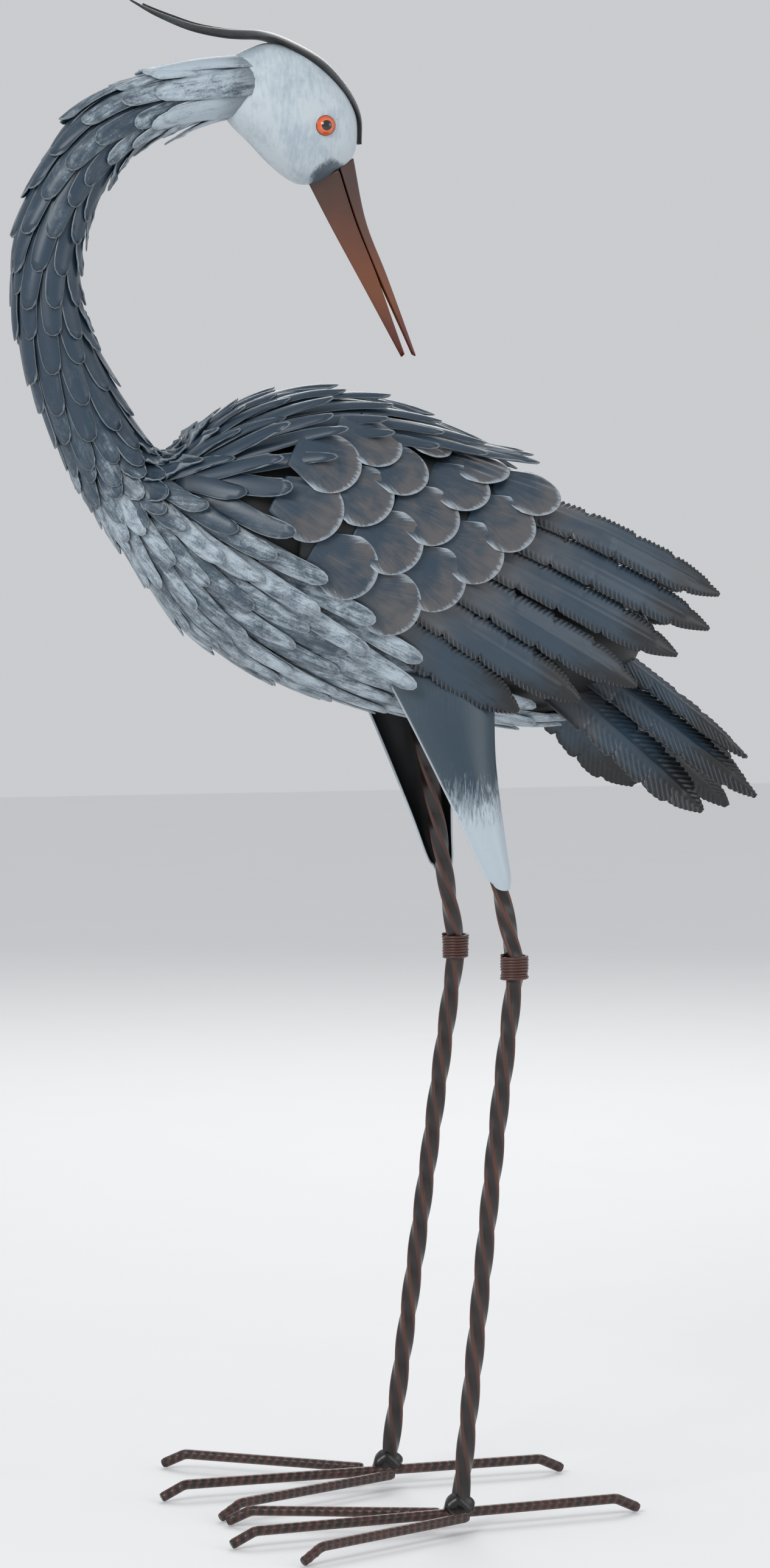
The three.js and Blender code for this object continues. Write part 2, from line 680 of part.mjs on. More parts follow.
add('neck', largest(without(trunk.intersect(neckSide), [grownHead])), 'slate');
const grownCoverts = sides.flatMap((side) => [
  covertPanel(side, 2 * GAP),
  ...scaleCentres().map((at) => coverScale(side, at, GAP)),
]);
const grownFlights = sides.flatMap((side) => flightFeatherSizes().map((size) => flightFeather(side, size, GAP)));
const bodyCutters = [...grownThighs, ...grownLegs, ...grownCoverts, ...grownFlights];
add('body', largest(without(trunk.intersect(bodySide), bodyCutters)), 'slate');
add('head', without(headSolid(), sides.map((side) => eyeSolid(side, GAP))), 'pale');
add('crest', crestSolid(), 'black');
add('upper_beak', without(upperBeak(), [grownHead]), 'rust');
add('lower_beak', without(lowerBeak(), [grownHead]), 'rust');
sides.forEach((side) => add(`${sideName[side]}_eye`, eyeSolid(side), 'orange', 0.15, 0));

wings.forEach(({ side, panel, flights }) => {
  add(`${sideName[side]}_wing_coverts`, panel, 'slate');
  flights.forEach((feather, i) => add(`${sideName[side]}_flight_feather_${i + 1}`, feather, 'dark'));
});
tail.forEach(({ name, body }) => add(name, largest(without(body, [grownCore])), 'dark'));

sides.forEach((side) => {
  const name = sideName[side];
  const ground = halfSpace(vector(0, 0, 0), vector(0, 0, 1));
  const toeNames = ['long', 'inner', 'outer'];
  const grownToes = toeNames.map((toe) => toeSolid(side, toe, GAP));
  add(`${name}_thigh`, largest(without(thighShell(side), [grownCore])), 'slate');
  add(`${name}_leg`, largest(without(joined([legRod(side), footWeld(side)]), grownToes)), 'rust');
  add(`${name}_knee_wire`, largest(kneeWire(side).subtract(legEnvelope(side))), 'rust');
  toeNames.forEach((toe) => {
    const cutters = toe === 'long' ? [] : [grownToes[0]];
    const label = toe === 'long' ? 'middle_and_back_toe' : `${toe}_toe`;
    add(`${name}_${label}`, largest(without(toeSolid(side, toe).intersect(ground), cutters)), 'rust');
  });
});

// The origin is the middle of the outline's footprint
heron.updateMatrixWorld(true);
const outlineBox = new THREE.Box3().setFromObject(heron);
const middle = outlineBox.getCenter(new THREE.Vector3());
heron.position.set(-middle.x, -middle.y, 0);

export default heron;
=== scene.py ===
"""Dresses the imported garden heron: cut sheet feathers, stamped wings and tail, twisted rod legs and paint."""
import logging
import math
from dataclasses import dataclass
from enum import Enum
from typing import Callable, Iterable, Sequence

import bpy
import numpy as np
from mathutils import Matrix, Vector


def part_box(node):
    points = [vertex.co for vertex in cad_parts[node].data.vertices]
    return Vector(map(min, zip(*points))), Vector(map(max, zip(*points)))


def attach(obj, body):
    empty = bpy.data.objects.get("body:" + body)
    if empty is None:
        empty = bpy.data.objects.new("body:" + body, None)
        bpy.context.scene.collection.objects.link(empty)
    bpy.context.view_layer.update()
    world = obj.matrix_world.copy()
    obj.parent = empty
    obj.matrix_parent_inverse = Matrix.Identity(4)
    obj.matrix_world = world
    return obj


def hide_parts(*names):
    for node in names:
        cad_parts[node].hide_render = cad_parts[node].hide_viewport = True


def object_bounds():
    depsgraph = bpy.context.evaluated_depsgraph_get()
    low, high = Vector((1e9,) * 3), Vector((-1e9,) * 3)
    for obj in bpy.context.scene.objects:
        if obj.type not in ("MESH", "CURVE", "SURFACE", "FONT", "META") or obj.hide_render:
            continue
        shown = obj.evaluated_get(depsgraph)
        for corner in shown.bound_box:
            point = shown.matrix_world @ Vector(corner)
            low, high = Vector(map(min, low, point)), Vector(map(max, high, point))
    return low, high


logging.basicConfig(level=logging.INFO, format="%(message)s")
LOG = logging.getLogger("heron")
MM = 0.001
ROOT = "root"
Colour = tuple[float, float, float]


def colour(code: str) -> Colour:
    """Turns a six-digit colour code into linear red, green and blue.

    Args:
        code: six hexadecimal digits.
    Returns:
        The three linear values from 0 to 1.
    """
    values = [int(code[i:i + 2], 16) / 255 for i in (0, 2, 4)]
    return tuple(v / 12.92 if v <= 0.04045 else ((v + 0.055) / 1.055) ** 2.4 for v in values)


# Places

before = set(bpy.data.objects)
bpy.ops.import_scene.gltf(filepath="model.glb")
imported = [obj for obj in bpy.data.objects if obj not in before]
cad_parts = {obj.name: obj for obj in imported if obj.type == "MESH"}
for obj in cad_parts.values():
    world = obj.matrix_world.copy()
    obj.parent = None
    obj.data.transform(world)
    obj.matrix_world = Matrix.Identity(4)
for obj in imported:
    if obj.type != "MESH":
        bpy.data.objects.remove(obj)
CAD_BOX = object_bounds()
EYE_PLACE = np.array([-43.0, -22.3, 842.0])


def frame_shift() -> np.ndarray:
    """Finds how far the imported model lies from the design's own axes, in millimetres, from the left eye."""
    low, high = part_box("left_eye")
    return (np.array(low) + np.array(high)) / 2 / MM - EYE_PLACE


SHIFT = frame_shift()


def smooth(points: Sequence[Sequence[float]], at: np.ndarray) -> np.ndarray:
    """Reads a smooth line through points.

    Args:
        points: the points that the line passes, any number of values each.
        at: places counted in points, 0 for the first.
    Returns:
        One row of values for each place.
    """
    rows = np.asarray(points, float)
    rows = np.vstack([2 * rows[0] - rows[1], rows, 2 * rows[-1] - rows[-2]])
    at = np.clip(np.asarray(at, float), 0, len(rows) - 3 - 1e-9)
    i = np.floor(at).astype(int)
    w = (at - i)[..., None]
    a, b, c, d = rows[i], rows[i + 1], rows[i + 2], rows[i + 3]
    return 0.5 * (2 * b + (c - a) * w + (2 * a - 5 * b + 4 * c - d) * w ** 2 + (3 * b - a - 3 * c + d) * w ** 3)


def unit(vectors: np.ndarray) -> np.ndarray:
    """Scales vectors to length one."""
    return vectors / np.maximum(np.linalg.norm(vectors, axis=-1, keepdims=True), 1e-9)


def ramp(x: np.ndarray | float, low: float, high: float) -> np.ndarray:
    """Rises smoothly from 0 at low to 1 at high."""
    t = np.clip((np.asarray(x, float) - low) / (high - low), 0, 1)
    return t * t * (3 - 2 * t)


def vec(x: float, y: float, z: float) -> np.ndarray:
    """Makes a point or direction."""
    return np.array([x, y, z], float)


class Side(Enum):
    """The bird's left or right side, with the sign of its Y."""

    LEFT = -1
    RIGHT = 1

    @property
    def word(self) -> str:
        """The side's word in the node names."""
        return self.name.lower()


# Node trees

class Signal:
    """A value that flows between nodes, with the operators the finishes use."""

    def __init__(self, nodes: "Nodes", socket: bpy.types.NodeSocket) -> None:
        """Wraps an output socket."""
        self.nodes = nodes
        self.socket = socket

    def math(self, operation: str, *others: "Signal | float", clamp: bool = False) -> "Signal":
        """Applies a Math node to this number.

        Args:
            operation: the Math node's operation.
            others: further inputs.
            clamp: whether the result is kept from 0 to 1.
        Returns:
            The result.
        """
        settings = {"operation": operation, "use_clamp": clamp}
        return self.nodes.add("ShaderNodeMath", settings, {i: v for i, v in enumerate((self, *others))})

    def __add__(self, other: "Signal | float") -> "Signal":
        """Adds."""
        return self.math("ADD", other)

    __radd__ = __add__

    def __sub__(self, other: "Signal | float") -> "Signal":
        """Subtracts."""
        return self.math("SUBTRACT", other)

    def __rsub__(self, other: float) -> "Signal":
        """Subtracts this from a number."""
        return (self * -1.0) + other

    def __mul__(self, other: "Signal | float") -> "Signal":
        """Multiplies."""
        return self.math("MULTIPLY", other)

    __rmul__ = __mul__

    def __truediv__(self, other: "Signal | float") -> "Signal":
        """Divides."""
        return self.math("DIVIDE", other)

    def __pow__(self, other: float) -> "Signal":
        """Raises to a power."""
        return self.math("POWER", other)

    def ramp(self, low: float, high: float) -> "Signal":
        """Rises smoothly from 0 where this is low to 1 where it is high; high may be the lower one."""
        settings = {"interpolation_type": "SMOOTHSTEP"}
        if high > low:
            return self.nodes.add("ShaderNodeMapRange", settings, {"Value": self, "From Min": low, "From Max": high})
        inputs = {"Value": self, "From Min": high, "From Max": low, "To Min": 1.0, "To Max": 0.0}
        return self.nodes.add("ShaderNodeMapRange", settings, inputs)


class Nodes:
    """Builds a node tree: one method adds any node."""

    def __init__(self, tree: bpy.types.NodeTree) -> None:
        """Starts on a tree."""
        self.tree = tree

    def add(self, kind: str, settings: dict | None = None, inputs: dict | None = None,
            output: int | str = 0) -> Signal:
        """Adds a node.

        Args:
            kind: the node's type.
            settings: its properties, set first.
            inputs: values or signals for its sockets, by identifier, name or number.
            output: the output wanted.
        Returns:
            That output.
        """
        node = self.tree.nodes.new(kind)
        for name, value in (settings or {}).items():
            setattr(node, name, value)
        for key, value in (inputs or {}).items():
            socket = self.find(node.inputs, key)
            if isinstance(value, Signal):
                self.tree.links.new(value.socket, socket)
            elif value is not None:
                if socket.type == "RGBA" and len(value) == 3:
                    value = (*value, 1.0)
                socket.default_value = value
        return Signal(self, self.find(node.outputs, output))

    @staticmethod
    def find(sockets: Iterable[bpy.types.NodeSocket], key: int | str) -> bpy.types.NodeSocket:
        """Finds a socket by number, identifier or, among those in use, name."""
        if isinstance(key, int):
            return sockets[key]
        for socket in sockets:
            if socket.identifier == key:
                return socket
        for socket in sockets:
            if socket.name == key and socket.enabled:
                return socket
        raise KeyError(key)

    def mix(self, factor: Signal | float, a: Signal | Colour, b: Signal | Colour, blend: str = "MIX") -> Signal:
        """Mixes two colours."""
        settings = {"data_type": "RGBA", "blend_type": blend, "clamp_factor": True}
        inputs = {"Factor_Float": factor, "A_Color": a, "B_Color": b}
        return self.add("ShaderNodeMix", settings, inputs, "Result_Color")

    def vector(self, operation: str, *values: Signal | Sequence[float], scale: Signal | float | None = None,
               output: int = 0) -> Signal:
        """Applies a Vector Math node."""
        inputs = {i: v for i, v in enumerate(values)}
        if scale is not None:
            inputs["Scale"] = scale
        return self.add("ShaderNodeVectorMath", {"operation": operation}, inputs, output)

    def split(self, vector: Signal) -> tuple[Signal, Signal, Signal]:
        """Splits a vector in its three numbers."""
        first = self.add("ShaderNodeSeparateXYZ", {}, {"Vector": vector})
        outputs = first.socket.node.outputs
        return tuple(Signal(self, outputs[i]) for i in range(3))

    def join(self, x: Signal | float, y: Signal | float, z: Signal | float) -> Signal:
        """Joins three numbers in a vector."""
        return self.add("ShaderNodeCombineXYZ", {}, {"X": x, "Y": y, "Z": z})


# Finishes

class Surface(Nodes):
    """The node tree of one material, with the patterns that several finishes share."""

    def __init__(self, name: str) -> None:
        """Makes an empty material of that name."""
        self.material = bpy.data.materials.new(name)
        self.material.use_nodes = True
        super().__init__(self.material.node_tree)
        self.tree.nodes.clear()
        self.object_mm = self.vector("SCALE", self.add("ShaderNodeTexCoord", {}, {}, "Object"), scale=1 / MM)

    def attribute(self, name: str, vector: bool = False) -> Signal:
        """Reads an attribute of the mesh."""
        return self.add("ShaderNodeAttribute", {"attribute_name": name}, {}, "Vector" if vector else "Fac")

    def noise(self, at: Signal, scale: float, detail: float = 4, rough: float = 0.55, distort: float = 0) -> Signal:
        """Reads a noise from 0 to 1, scale in waves a millimetre."""
        inputs = {"Vector": at, "Scale": scale, "Detail": detail, "Roughness": rough, "Distortion": distort}
        return self.add("ShaderNodeTexNoise", {}, inputs, "Fac")

    def stretched(self, at: Signal, x: float, y: float, z: float) -> Signal:
        """Stretches a place by a factor along each axis."""
        return self.vector("MULTIPLY", at, (x, y, z))

    def bump(self, height: Signal, depth: float, normal: Signal | None = None, strength: float = 1.0) -> Signal:
        """Turns a height from 0 to 1 into a normal, depth in millimetres."""
        inputs = {"Height": height, "Distance": depth * MM, "Strength": strength, "Normal": normal}
        return self.add("ShaderNodeBump", {}, inputs, "Normal")

    def finish(self, base: Signal | Colour, roughness: Signal | float, normal: Signal | None = None,
               **constants: float | Signal) -> bpy.types.Material:
        """Ends the tree in a Principled shader.

        Args:
            base: the colour.
            roughness: the roughness.
            normal: the bumped normal.
            constants: further sockets, with underscores for spaces.
        Returns:
            The material.
        """
        inputs = {"Base Color": base, "Roughness": roughness, "Normal": normal}
        inputs |= {name.replace("_", " "): value for name, value in constants.items()}
        shader = self.add("ShaderNodeBsdfPrincipled", {}, inputs, "BSDF")
        self.add_output(shader)
        return self.material

    def add_output(self, shader: Signal) -> None:
        """Links the shader to the material's output."""
        node = self.tree.nodes.new("ShaderNodeOutputMaterial")
        self.tree.links.new(shader.socket, node.inputs["Surface"])


@dataclass(frozen=True)
class FeatherPaint:
    """Slate paint brushed with pale grey along each feather, with bright cut edges that are partly rubbed paint and
    partly a painted highlight, and painted shade at each root.

    The mesh carries the attributes leaf (place along and across), grain (place in millimetres and a seed),
    rim (millimetres to the cut edge) and pale (how much pale paint it got).
    """

    name: str
    dark: Colour = colour("2b3e4e")
    middle: Colour = colour("4b5a66")
    light: Colour = colour("b4c2cc")
    edge: Colour = colour("c6d1d8")
    streak: float = 0.55
    mottle: float = 0.9
    rough: float = 0.33

    def build(self) -> bpy.types.Material:
        """Builds the material."""
        s = Surface(self.name)
        along, _, _ = s.split(s.attribute("leaf", True))
        grain = s.attribute("grain", True)
        rim = s.attribute("rim")
        pale = s.attribute("pale")
        streaks = s.noise(s.stretched(grain, 0.07, 0.8, 1), 1.0, 6, 0.62)
        patches = s.noise(s.stretched(grain, 0.09, 0.16, 1), 1.0, 4, 0.6, 0.6)
        specks = s.noise(grain, 0.9, 5, 0.7)
        brushed = pale + (streaks - 0.5) * self.streak + (patches - 0.5) * self.mottle + (specks - 0.5) * 0.45
        brushed = brushed + along * 0.10
        body = s.mix(brushed.ramp(0.18, 0.52), self.dark, self.middle)
        body = s.mix(brushed.ramp(0.42, 0.86), body, self.light)
        # A darker, speckled band just inside each cut edge.
        rim_dark_band = (1 - rim.ramp(0.6, 2.2)) * specks.ramp(0.35, 0.75) * 0.5
        body = s.mix(rim_dark_band, body, colour("1b242c"))
        # Painted shade near each feather's root, where the next row overlaps it, partly black paint in the crevices.
        body = s.mix((1 - along.ramp(0.05, 0.42)) * 0.55, body, colour("10161b"))
        # Lighter along the cut edge: partly rubbed paint, partly a painted highlight where the edge catches the light.
        rubbed_edge_and_highlight = (1 - rim.ramp(0.15, 0.6)) * (0.35 + streaks * 0.9) * along.ramp(0.15, 0.4)
        body = s.mix(rubbed_edge_and_highlight * 0.4, body, self.edge)
        roughness = self.rough + specks * 0.12 + brushed.ramp(0.4, 0.9) * 0.16
        height = streaks * 0.5 + specks * 0.4 + patches * 0.4
        normal = s.bump(height, 0.12, None, 0.7)
        return s.finish(body, roughness, normal, Coat_Weight=0.12, Coat_Roughness=0.25)


@dataclass(frozen=True)
class ScalePaint:
    """Slate blue over brownish grey, with a dry-brushed pale fringe along the round edge of each scale and a bright
    line on the edge itself, partly rubbed paint and partly a painted highlight.
    """

    name: str = "covert_scale_paint"
    dark: Colour = colour("2c3f4f")
    brown: Colour = colour("5d5b5c")
    light: Colour = colour("b3c0ca")

    def build(self) -> bpy.types.Material:
        """Builds the material."""
        s = Surface(self.name)
        along, _, _ = s.split(s.attribute("leaf", True))
        grain = s.attribute("grain", True)
        x, y, seed = s.split(grain)
        rim = s.attribute("rim")
        turn = y.math("ARCTAN2", x + 6.0)
        reach = ((x + 6.0) * (x + 6.0) + y * y).math("SQRT")
        rays = s.noise(s.join(turn * 26.0, reach * 0.07, seed), 1.0, 5, 0.6)
        clouds = s.noise(s.stretched(grain, 0.055, 0.07, 1), 1.0, 3, 0.5, 0.4)
        specks = s.noise(grain, 0.8, 5, 0.7)
        base = s.mix((clouds * 0.8 + rays * 0.35 + along * 0.35).ramp(0.62, 1.0), self.dark, self.brown)
        base = s.mix((rays * 0.6 + specks * 0.5).ramp(0.62, 0.8) * 0.35, base, colour("77848e"))
        reach_in = rim + (rays - 0.5) * 9.0 + (specks - 0.5) * 3.0
        fringe = (1 - reach_in.ramp(0.2, 3.6)) * along.ramp(0.4, 0.7)
        base = s.mix(fringe * (0.45 + specks * 0.4), base, self.light)
        base = s.mix((specks.ramp(0.66, 0.8)) * 0.4, base, colour("1d2830"))
        rust = s.noise(s.object_mm, 0.045, 3, 0.5).ramp(0.70, 0.74) * rays.ramp(0.55, 0.65)
        base = s.mix(rust * 0.6, base, colour("7a3a24"))
        # Lighter along the round edge: partly rubbed paint, partly a painted highlight where the edge catches the
        # light.
        rubbed_edge_and_highlight = (1 - rim.ramp(0.1, 0.5)) * along.ramp(0.2, 0.5)
        base = s.mix(rubbed_edge_and_highlight * 0.4, base, colour("cdd6db"))
        roughness = 0.34 + specks * 0.14 + fringe * 0.15
        normal = s.bump(rays * 0.6 + specks * 0.3, 0.16, None, 0.8)
        return s.finish(base, roughness, normal, Coat_Weight=0.15, Coat_Roughness=0.22)


@dataclass(frozen=True)
class StampedPaint:
    """Brownish grey at the root, slate blue along the blade and black at the tip and rim, rubbed on the ridges.

    The mesh carries leaf, grain, rim and ridge (how far a stamped ridge stands out, 0 to 1).
    """

    name: str
    root: Colour = colour("5a5c60")
    blade: Colour = colour("2f4353")
    tip: Colour = colour("121518")
    rubbed: Colour = colour("8f9ca6")
    tip_start: float = 0.62

    def build(self) -> bpy.types.Material:
        """Builds the material."""
        s = Surface(self.name)
        along, _, _ = s.split(s.attribute("leaf", True))
        grain = s.attribute("grain", True)
        rim = s.attribute("rim")
        ridge = s.attribute("ridge")
        hairs = s.noise(s.stretched(grain, 0.03, 1.3, 1), 1.0, 5, 0.6)
        clouds = s.noise(s.stretched(grain, 0.035, 0.09, 1), 1.0, 3, 0.5)
        specks = s.noise(grain, 0.9, 5, 0.65)
        fade = along + (clouds - 0.5) * 0.5 + (hairs - 0.5) * 0.25
        base = s.mix(fade.ramp(0.12, 0.5), self.root, self.blade)
        base = s.mix(fade.ramp(self.tip_start, self.tip_start + 0.32), base, self.tip)
        base = s.mix((1 - rim.ramp(1.0, 5.0)) * (0.5 + clouds * 0.5), base, self.tip)
        base = s.mix(hairs.ramp(0.6, 0.78) * 0.28, base, self.rubbed)
        base = s.mix(ridge.ramp(0.55, 1.0) * (0.3 + hairs * 0.7) * 0.4, base, self.rubbed)
        roughness = 0.30 + specks * 0.16
        normal = s.bump(hairs * 0.5 + specks * 0.4, 0.12, None, 0.7)
        return s.finish(base, roughness, normal, Coat_Weight=0.2, Coat_Roughness=0.2)


@dataclass(frozen=True)
class HeadPaint:
    """Pale grey-white paint, brushed, smudged blue-black at the bill and under the cap, with a few scratches."""

    name: str = "head_paint"
    pale: Colour = colour("c6d0d6")
    shade: Colour = colour("a9b8c2")
    smudge: Colour = colour("2a3c4a")

    def build(self) -> bpy.types.Material:
        """Builds the material."""
        s = Surface(self.name)
        at = s.object_mm
        clouds = s.noise(at, 0.05, 4, 0.55, 0.4)
        brush = s.noise(s.stretched(at, 0.5, 0.2, 0.12), 1.0, 5, 0.65)
        specks = s.noise(at, 0.55, 6, 0.7)
        base = s.mix((clouds * 0.7 + brush * 0.5).ramp(0.5, 0.78), self.pale, self.shade)
        down = s.attribute("smudge")
        dirt = (down + (brush - 0.5) * 0.7 + (specks - 0.5) * 0.5).ramp(0.42, 0.85)
        base = s.mix(dirt * 0.85, base, self.smudge)
        dots = specks.ramp(0.70, 0.76) * clouds.ramp(0.5, 0.62)
        base = s.mix(dots * 0.55, base, self.smudge)
        cuts = s.noise(s.stretched(at, 0.9, 0.3, 0.25), 1.0, 2, 0.5).ramp(0.735, 0.76) * clouds.ramp(0.55, 0.6)
        base = s.mix(cuts * 0.8, base, colour("b9793f"))
        roughness = 0.36 + specks * 0.14
        normal = s.bump(brush * 0.5 + specks * 0.35, 0.10, None, 0.6)
        return s.finish(base, roughness, normal, Coat_Weight=0.1, Coat_Roughness=0.3)


@dataclass(frozen=True)
class PlainPaint:
    """A satin paint of one colour with clouding, rubbed spots and a fine grain."""

    name: str
    base: Colour
    rubbed: Colour
    amount: float = 0.35
    rough: float = 0.35
    grain: float = 0.3

    def build(self) -> bpy.types.Material:
        """Builds the material."""
        s = Surface(self.name)
        clouds = s.noise(s.object_mm, 0.06, 4, 0.55)
        specks = s.noise(s.object_mm, self.grain * 2.4, 5, 0.7)
        base = s.mix((clouds * 0.6 + specks * 0.6).ramp(0.55, 0.85) * self.amount, self.base, self.rubbed)
        roughness = self.rough + specks * 0.16
        return s.finish(base, roughness, s.bump(specks, 0.1, None, 0.6), Coat_Weight=0.15, Coat_Roughness=0.25)


@dataclass(frozen=True)
class BeakPaint:
    """Brown paint on folded sheet: darker and redder at the root, orange-brown along the blade."""

    name: str = "beak_paint"

    def build(self) -> bpy.types.Material:
        """Builds the material."""
        s = Surface(self.name)
        _, _, z = s.split(s.object_mm)
        clouds = s.noise(s.object_mm, 0.06, 4, 0.6)
        specks = s.noise(s.object_mm, 0.7, 5, 0.7)
        down = z + (clouds - 0.5) * 30.0
        base = s.mix(down.ramp(812, 775), colour("46291f"), colour("5f3420"))
        base = s.mix(down.ramp(790, 745), base, colour("78401f"))
        base = s.mix(down.ramp(745, 712), base, colour("5e2414"))
        base = s.mix(specks.ramp(0.6, 0.8) * 0.4, base, colour("2a1510"))
        roughness = 0.28 + specks * 0.16
        return s.finish(base, roughness, s.bump(specks, 0.08, None, 0.5), Coat_Weight=0.3, Coat_Roughness=0.2)


@dataclass(frozen=True)
class RodPaint:
    """Brown paint on bar stock: rust-orange where ridges are rubbed, black in the hollows.

    The mesh carries the attribute ridge, 0 in a hollow and 1 on a ridge.
    """

    name: str
    hollow: Colour = colour("1c1412")
    brown: Colour = colour("4a2a20")
    rust: Colour = colour("8a4526")
    dark_foot: float = 0.0

    def build(self) -> bpy.types.Material:
        """Builds the material."""
        s = Surface(self.name)
        at = s.object_mm
        _, _, z = s.split(at)
        ridge = s.attribute("ridge")
        clouds = s.noise(s.stretched(at, 1, 1, 0.35), 0.05, 4, 0.6)
        specks = s.noise(at, 0.6, 6, 0.7)
        streaks = s.noise(s.stretched(at, 1.0, 1.0, 0.12), 0.8, 4, 0.6)
        level = ridge + (clouds - 0.5) * 0.8 + (streaks - 0.5) * 0.5
        base = s.mix(level.ramp(0.1, 0.45), self.hollow, self.brown)
        base = s.mix(level.ramp(0.55, 1.1) * clouds.ramp(0.3, 0.65), base, self.rust)
        base = s.mix(specks.ramp(0.62, 0.8) * 0.4, base, colour("17100e"))
        low = (z + (clouds - 0.5) * 30.0).ramp(self.dark_foot + 34.0, self.dark_foot) if self.dark_foot else 0.0
        if self.dark_foot:
            base = s.mix(low * 0.9, base, colour("100e0d"))
        roughness = 0.30 + specks * 0.2
        return s.finish(base, roughness, s.bump(specks * 0.6 + streaks * 0.4, 0.14, None, 0.7),
                        Coat_Weight=0.25, Coat_Roughness=0.22)


@dataclass(frozen=True)
class ThighPaint:
    """Slate blue paint dry-brushed to pale grey at the bottom, black inside the fold."""

    name: str = "thigh_paint"

    def build(self) -> bpy.types.Material:
        """Builds the material."""
        s = Surface(self.name)
        at = s.object_mm
        _, _, z = s.split(at)
        clouds = s.noise(at, 0.045, 4, 0.6)
        strokes = s.noise(s.stretched(at, 0.9, 0.5, 0.07), 1.0, 6, 0.65)
        specks = s.noise(s.stretched(at, 1, 1, 0.4), 0.45, 5, 0.7)
        down = z + (strokes - 0.5) * 58.0 + (clouds - 0.5) * 18.0 + (specks - 0.5) * 14.0
        base = s.mix(down.ramp(560, 470), colour("4a5864"), colour("2f4351"))
        base = s.mix(down.ramp(452, 424), base, colour("b9c6cf"))
        base = s.mix((specks * 0.7 + strokes * 0.4).ramp(0.66, 0.8) * 0.55, base, colour("5b6a76"))
        # Lighter along the cut edges: partly rubbed paint, partly a painted highlight where the edges catch the light.
        rim = s.attribute("rim")
        base = s.mix((1 - rim.ramp(0.2, 0.9)) * 0.7, base, colour("c9d3d9"))
        roughness = 0.30 + specks * 0.16
        return s.finish(base, roughness, s.bump(strokes * 0.6 + specks * 0.4, 0.12, None, 0.7),
                        Coat_Weight=0.2, Coat_Roughness=0.25)


@dataclass(frozen=True)
class EyePaint:
    """A bead with a black pupil in an orange ring that darkens outwards."""

    name: str = "eye_gloss"
    pupil: float = 3.1
    ring: float = 5.5

    def build(self) -> bpy.types.Material:
        """Builds the material."""
        s = Surface(self.name)
        x, _, z = s.split(s.object_mm)
        dx = x - float(EYE_PLACE[0] + SHIFT[0])
        dz = z - float(EYE_PLACE[2] + SHIFT[2])
        radius = (dx * dx + dz * dz).math("SQRT")
        fibres = s.noise(s.object_mm, 1.6, 3, 0.6)
        base = s.mix(radius.ramp(self.pupil, self.ring), colour("f0682a"), colour("d2400f"))
        base = s.mix(fibres * 0.25, base, colour("f79a55"))
        base = s.mix(radius.ramp(self.pupil + 0.25, self.pupil - 0.2), base, colour("0b0a0a"))
        base = s.mix(radius.ramp(self.ring, self.ring + 0.35), base, colour("6a2411"))
        return s.finish(base, 0.08 + fibres * 0.05, None, Coat_Weight=1.0, Coat_Roughness=0.03)


# Meshes

def mesh_object(name: str, points: np.ndarray, faces: Sequence[Sequence[int]],
                attributes: dict[str, np.ndarray] | None = None) -> bpy.types.Object:
    """Makes a smooth-shaded object from points in the design's millimetres.

    Args:
        name: the piece's name.
        points: one row for each point.
        faces: the point numbers of each face.
        attributes: values for each point, one number or three.
    Returns:
        The object, linked to the scene.
    """
    mesh = bpy.data.meshes.new(name)
    mesh.from_pydata(((points + SHIFT) * MM).tolist(), [], [tuple(face) for face in faces])
    for key, values in (attributes or {}).items():
        values = np.asarray(values, float)
        is_vector = values.ndim == 2
        layer = mesh.attributes.new(key, "FLOAT_VECTOR" if is_vector else "FLOAT", "POINT")
        layer.data.foreach_set("vector" if is_vector else "value", values.ravel())
    mesh.shade_smooth()
    mesh.validate()
    piece = bpy.data.objects.new(name, mesh)
    bpy.context.scene.collection.objects.link(piece)
    return piece


def grid_faces(rows: int, columns: int, close: bool = False, start: int = 0) -> list[tuple[int, int, int, int]]:
    """Lists the four-sided faces of a grid of points.

    Args:
        rows: rows of points.
        columns: points in a row.
        close: whether each row is a ring.
        start: the number of the first point.
    Returns:
        The faces.
    """
    span = columns if close else columns - 1
    faces = []
    for i in range(rows - 1):
        for j in range(span):
            k = (j + 1) % columns
            a, b = start + i * columns, start + (i + 1) * columns
            faces.append((a + j, a + k, b + k, b + j))
    return faces


def solidify(piece: bpy.types.Object, thickness: float, offset: float = -1, inner: int = 0, rim: int = 0) -> None:
    """Gives a sheet its thickness in millimetres."""
    modifier = piece.modifiers.new("sheet", "SOLIDIFY")
    modifier.thickness = thickness * MM
    modifier.offset = offset
    modifier.use_even_offset = False
    modifier.material_offset = inner
    modifier.material_offset_rim = rim


def keep_inside(piece: bpy.types.Object, margin: float = 0.3) -> None:
    """Holds a piece's points inside the model's box, a margin in millimetres from its sides."""
    mesh = piece.data
    points = np.empty(len(mesh.vertices) * 3)
    mesh.vertices.foreach_get("co", points)
    low, high = np.array(CAD_BOX[0]), np.array(CAD_BOX[1])
    edge = np.array([margin, margin, 0.0]) * MM
    points = np.clip(points.reshape(-1, 3), low + edge, high - edge)
    mesh.vertices.foreach_set("co", points.ravel())
    mesh.update()


def dress(piece: bpy.types.Object, slot: str, nodes: Sequence[str], *materials: bpy.types.Material) -> None:
    """Gives a piece its materials, its body and the nodes it stands for."""
    keep_inside(piece)
    piece.data.materials.clear()
    for material in materials:
        piece.data.materials.append(material)
    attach(piece, ROOT)
    if nodes:
        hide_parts(*nodes)
    LOG.info("%s: %d faces", piece.name, len(piece.data.polygons))


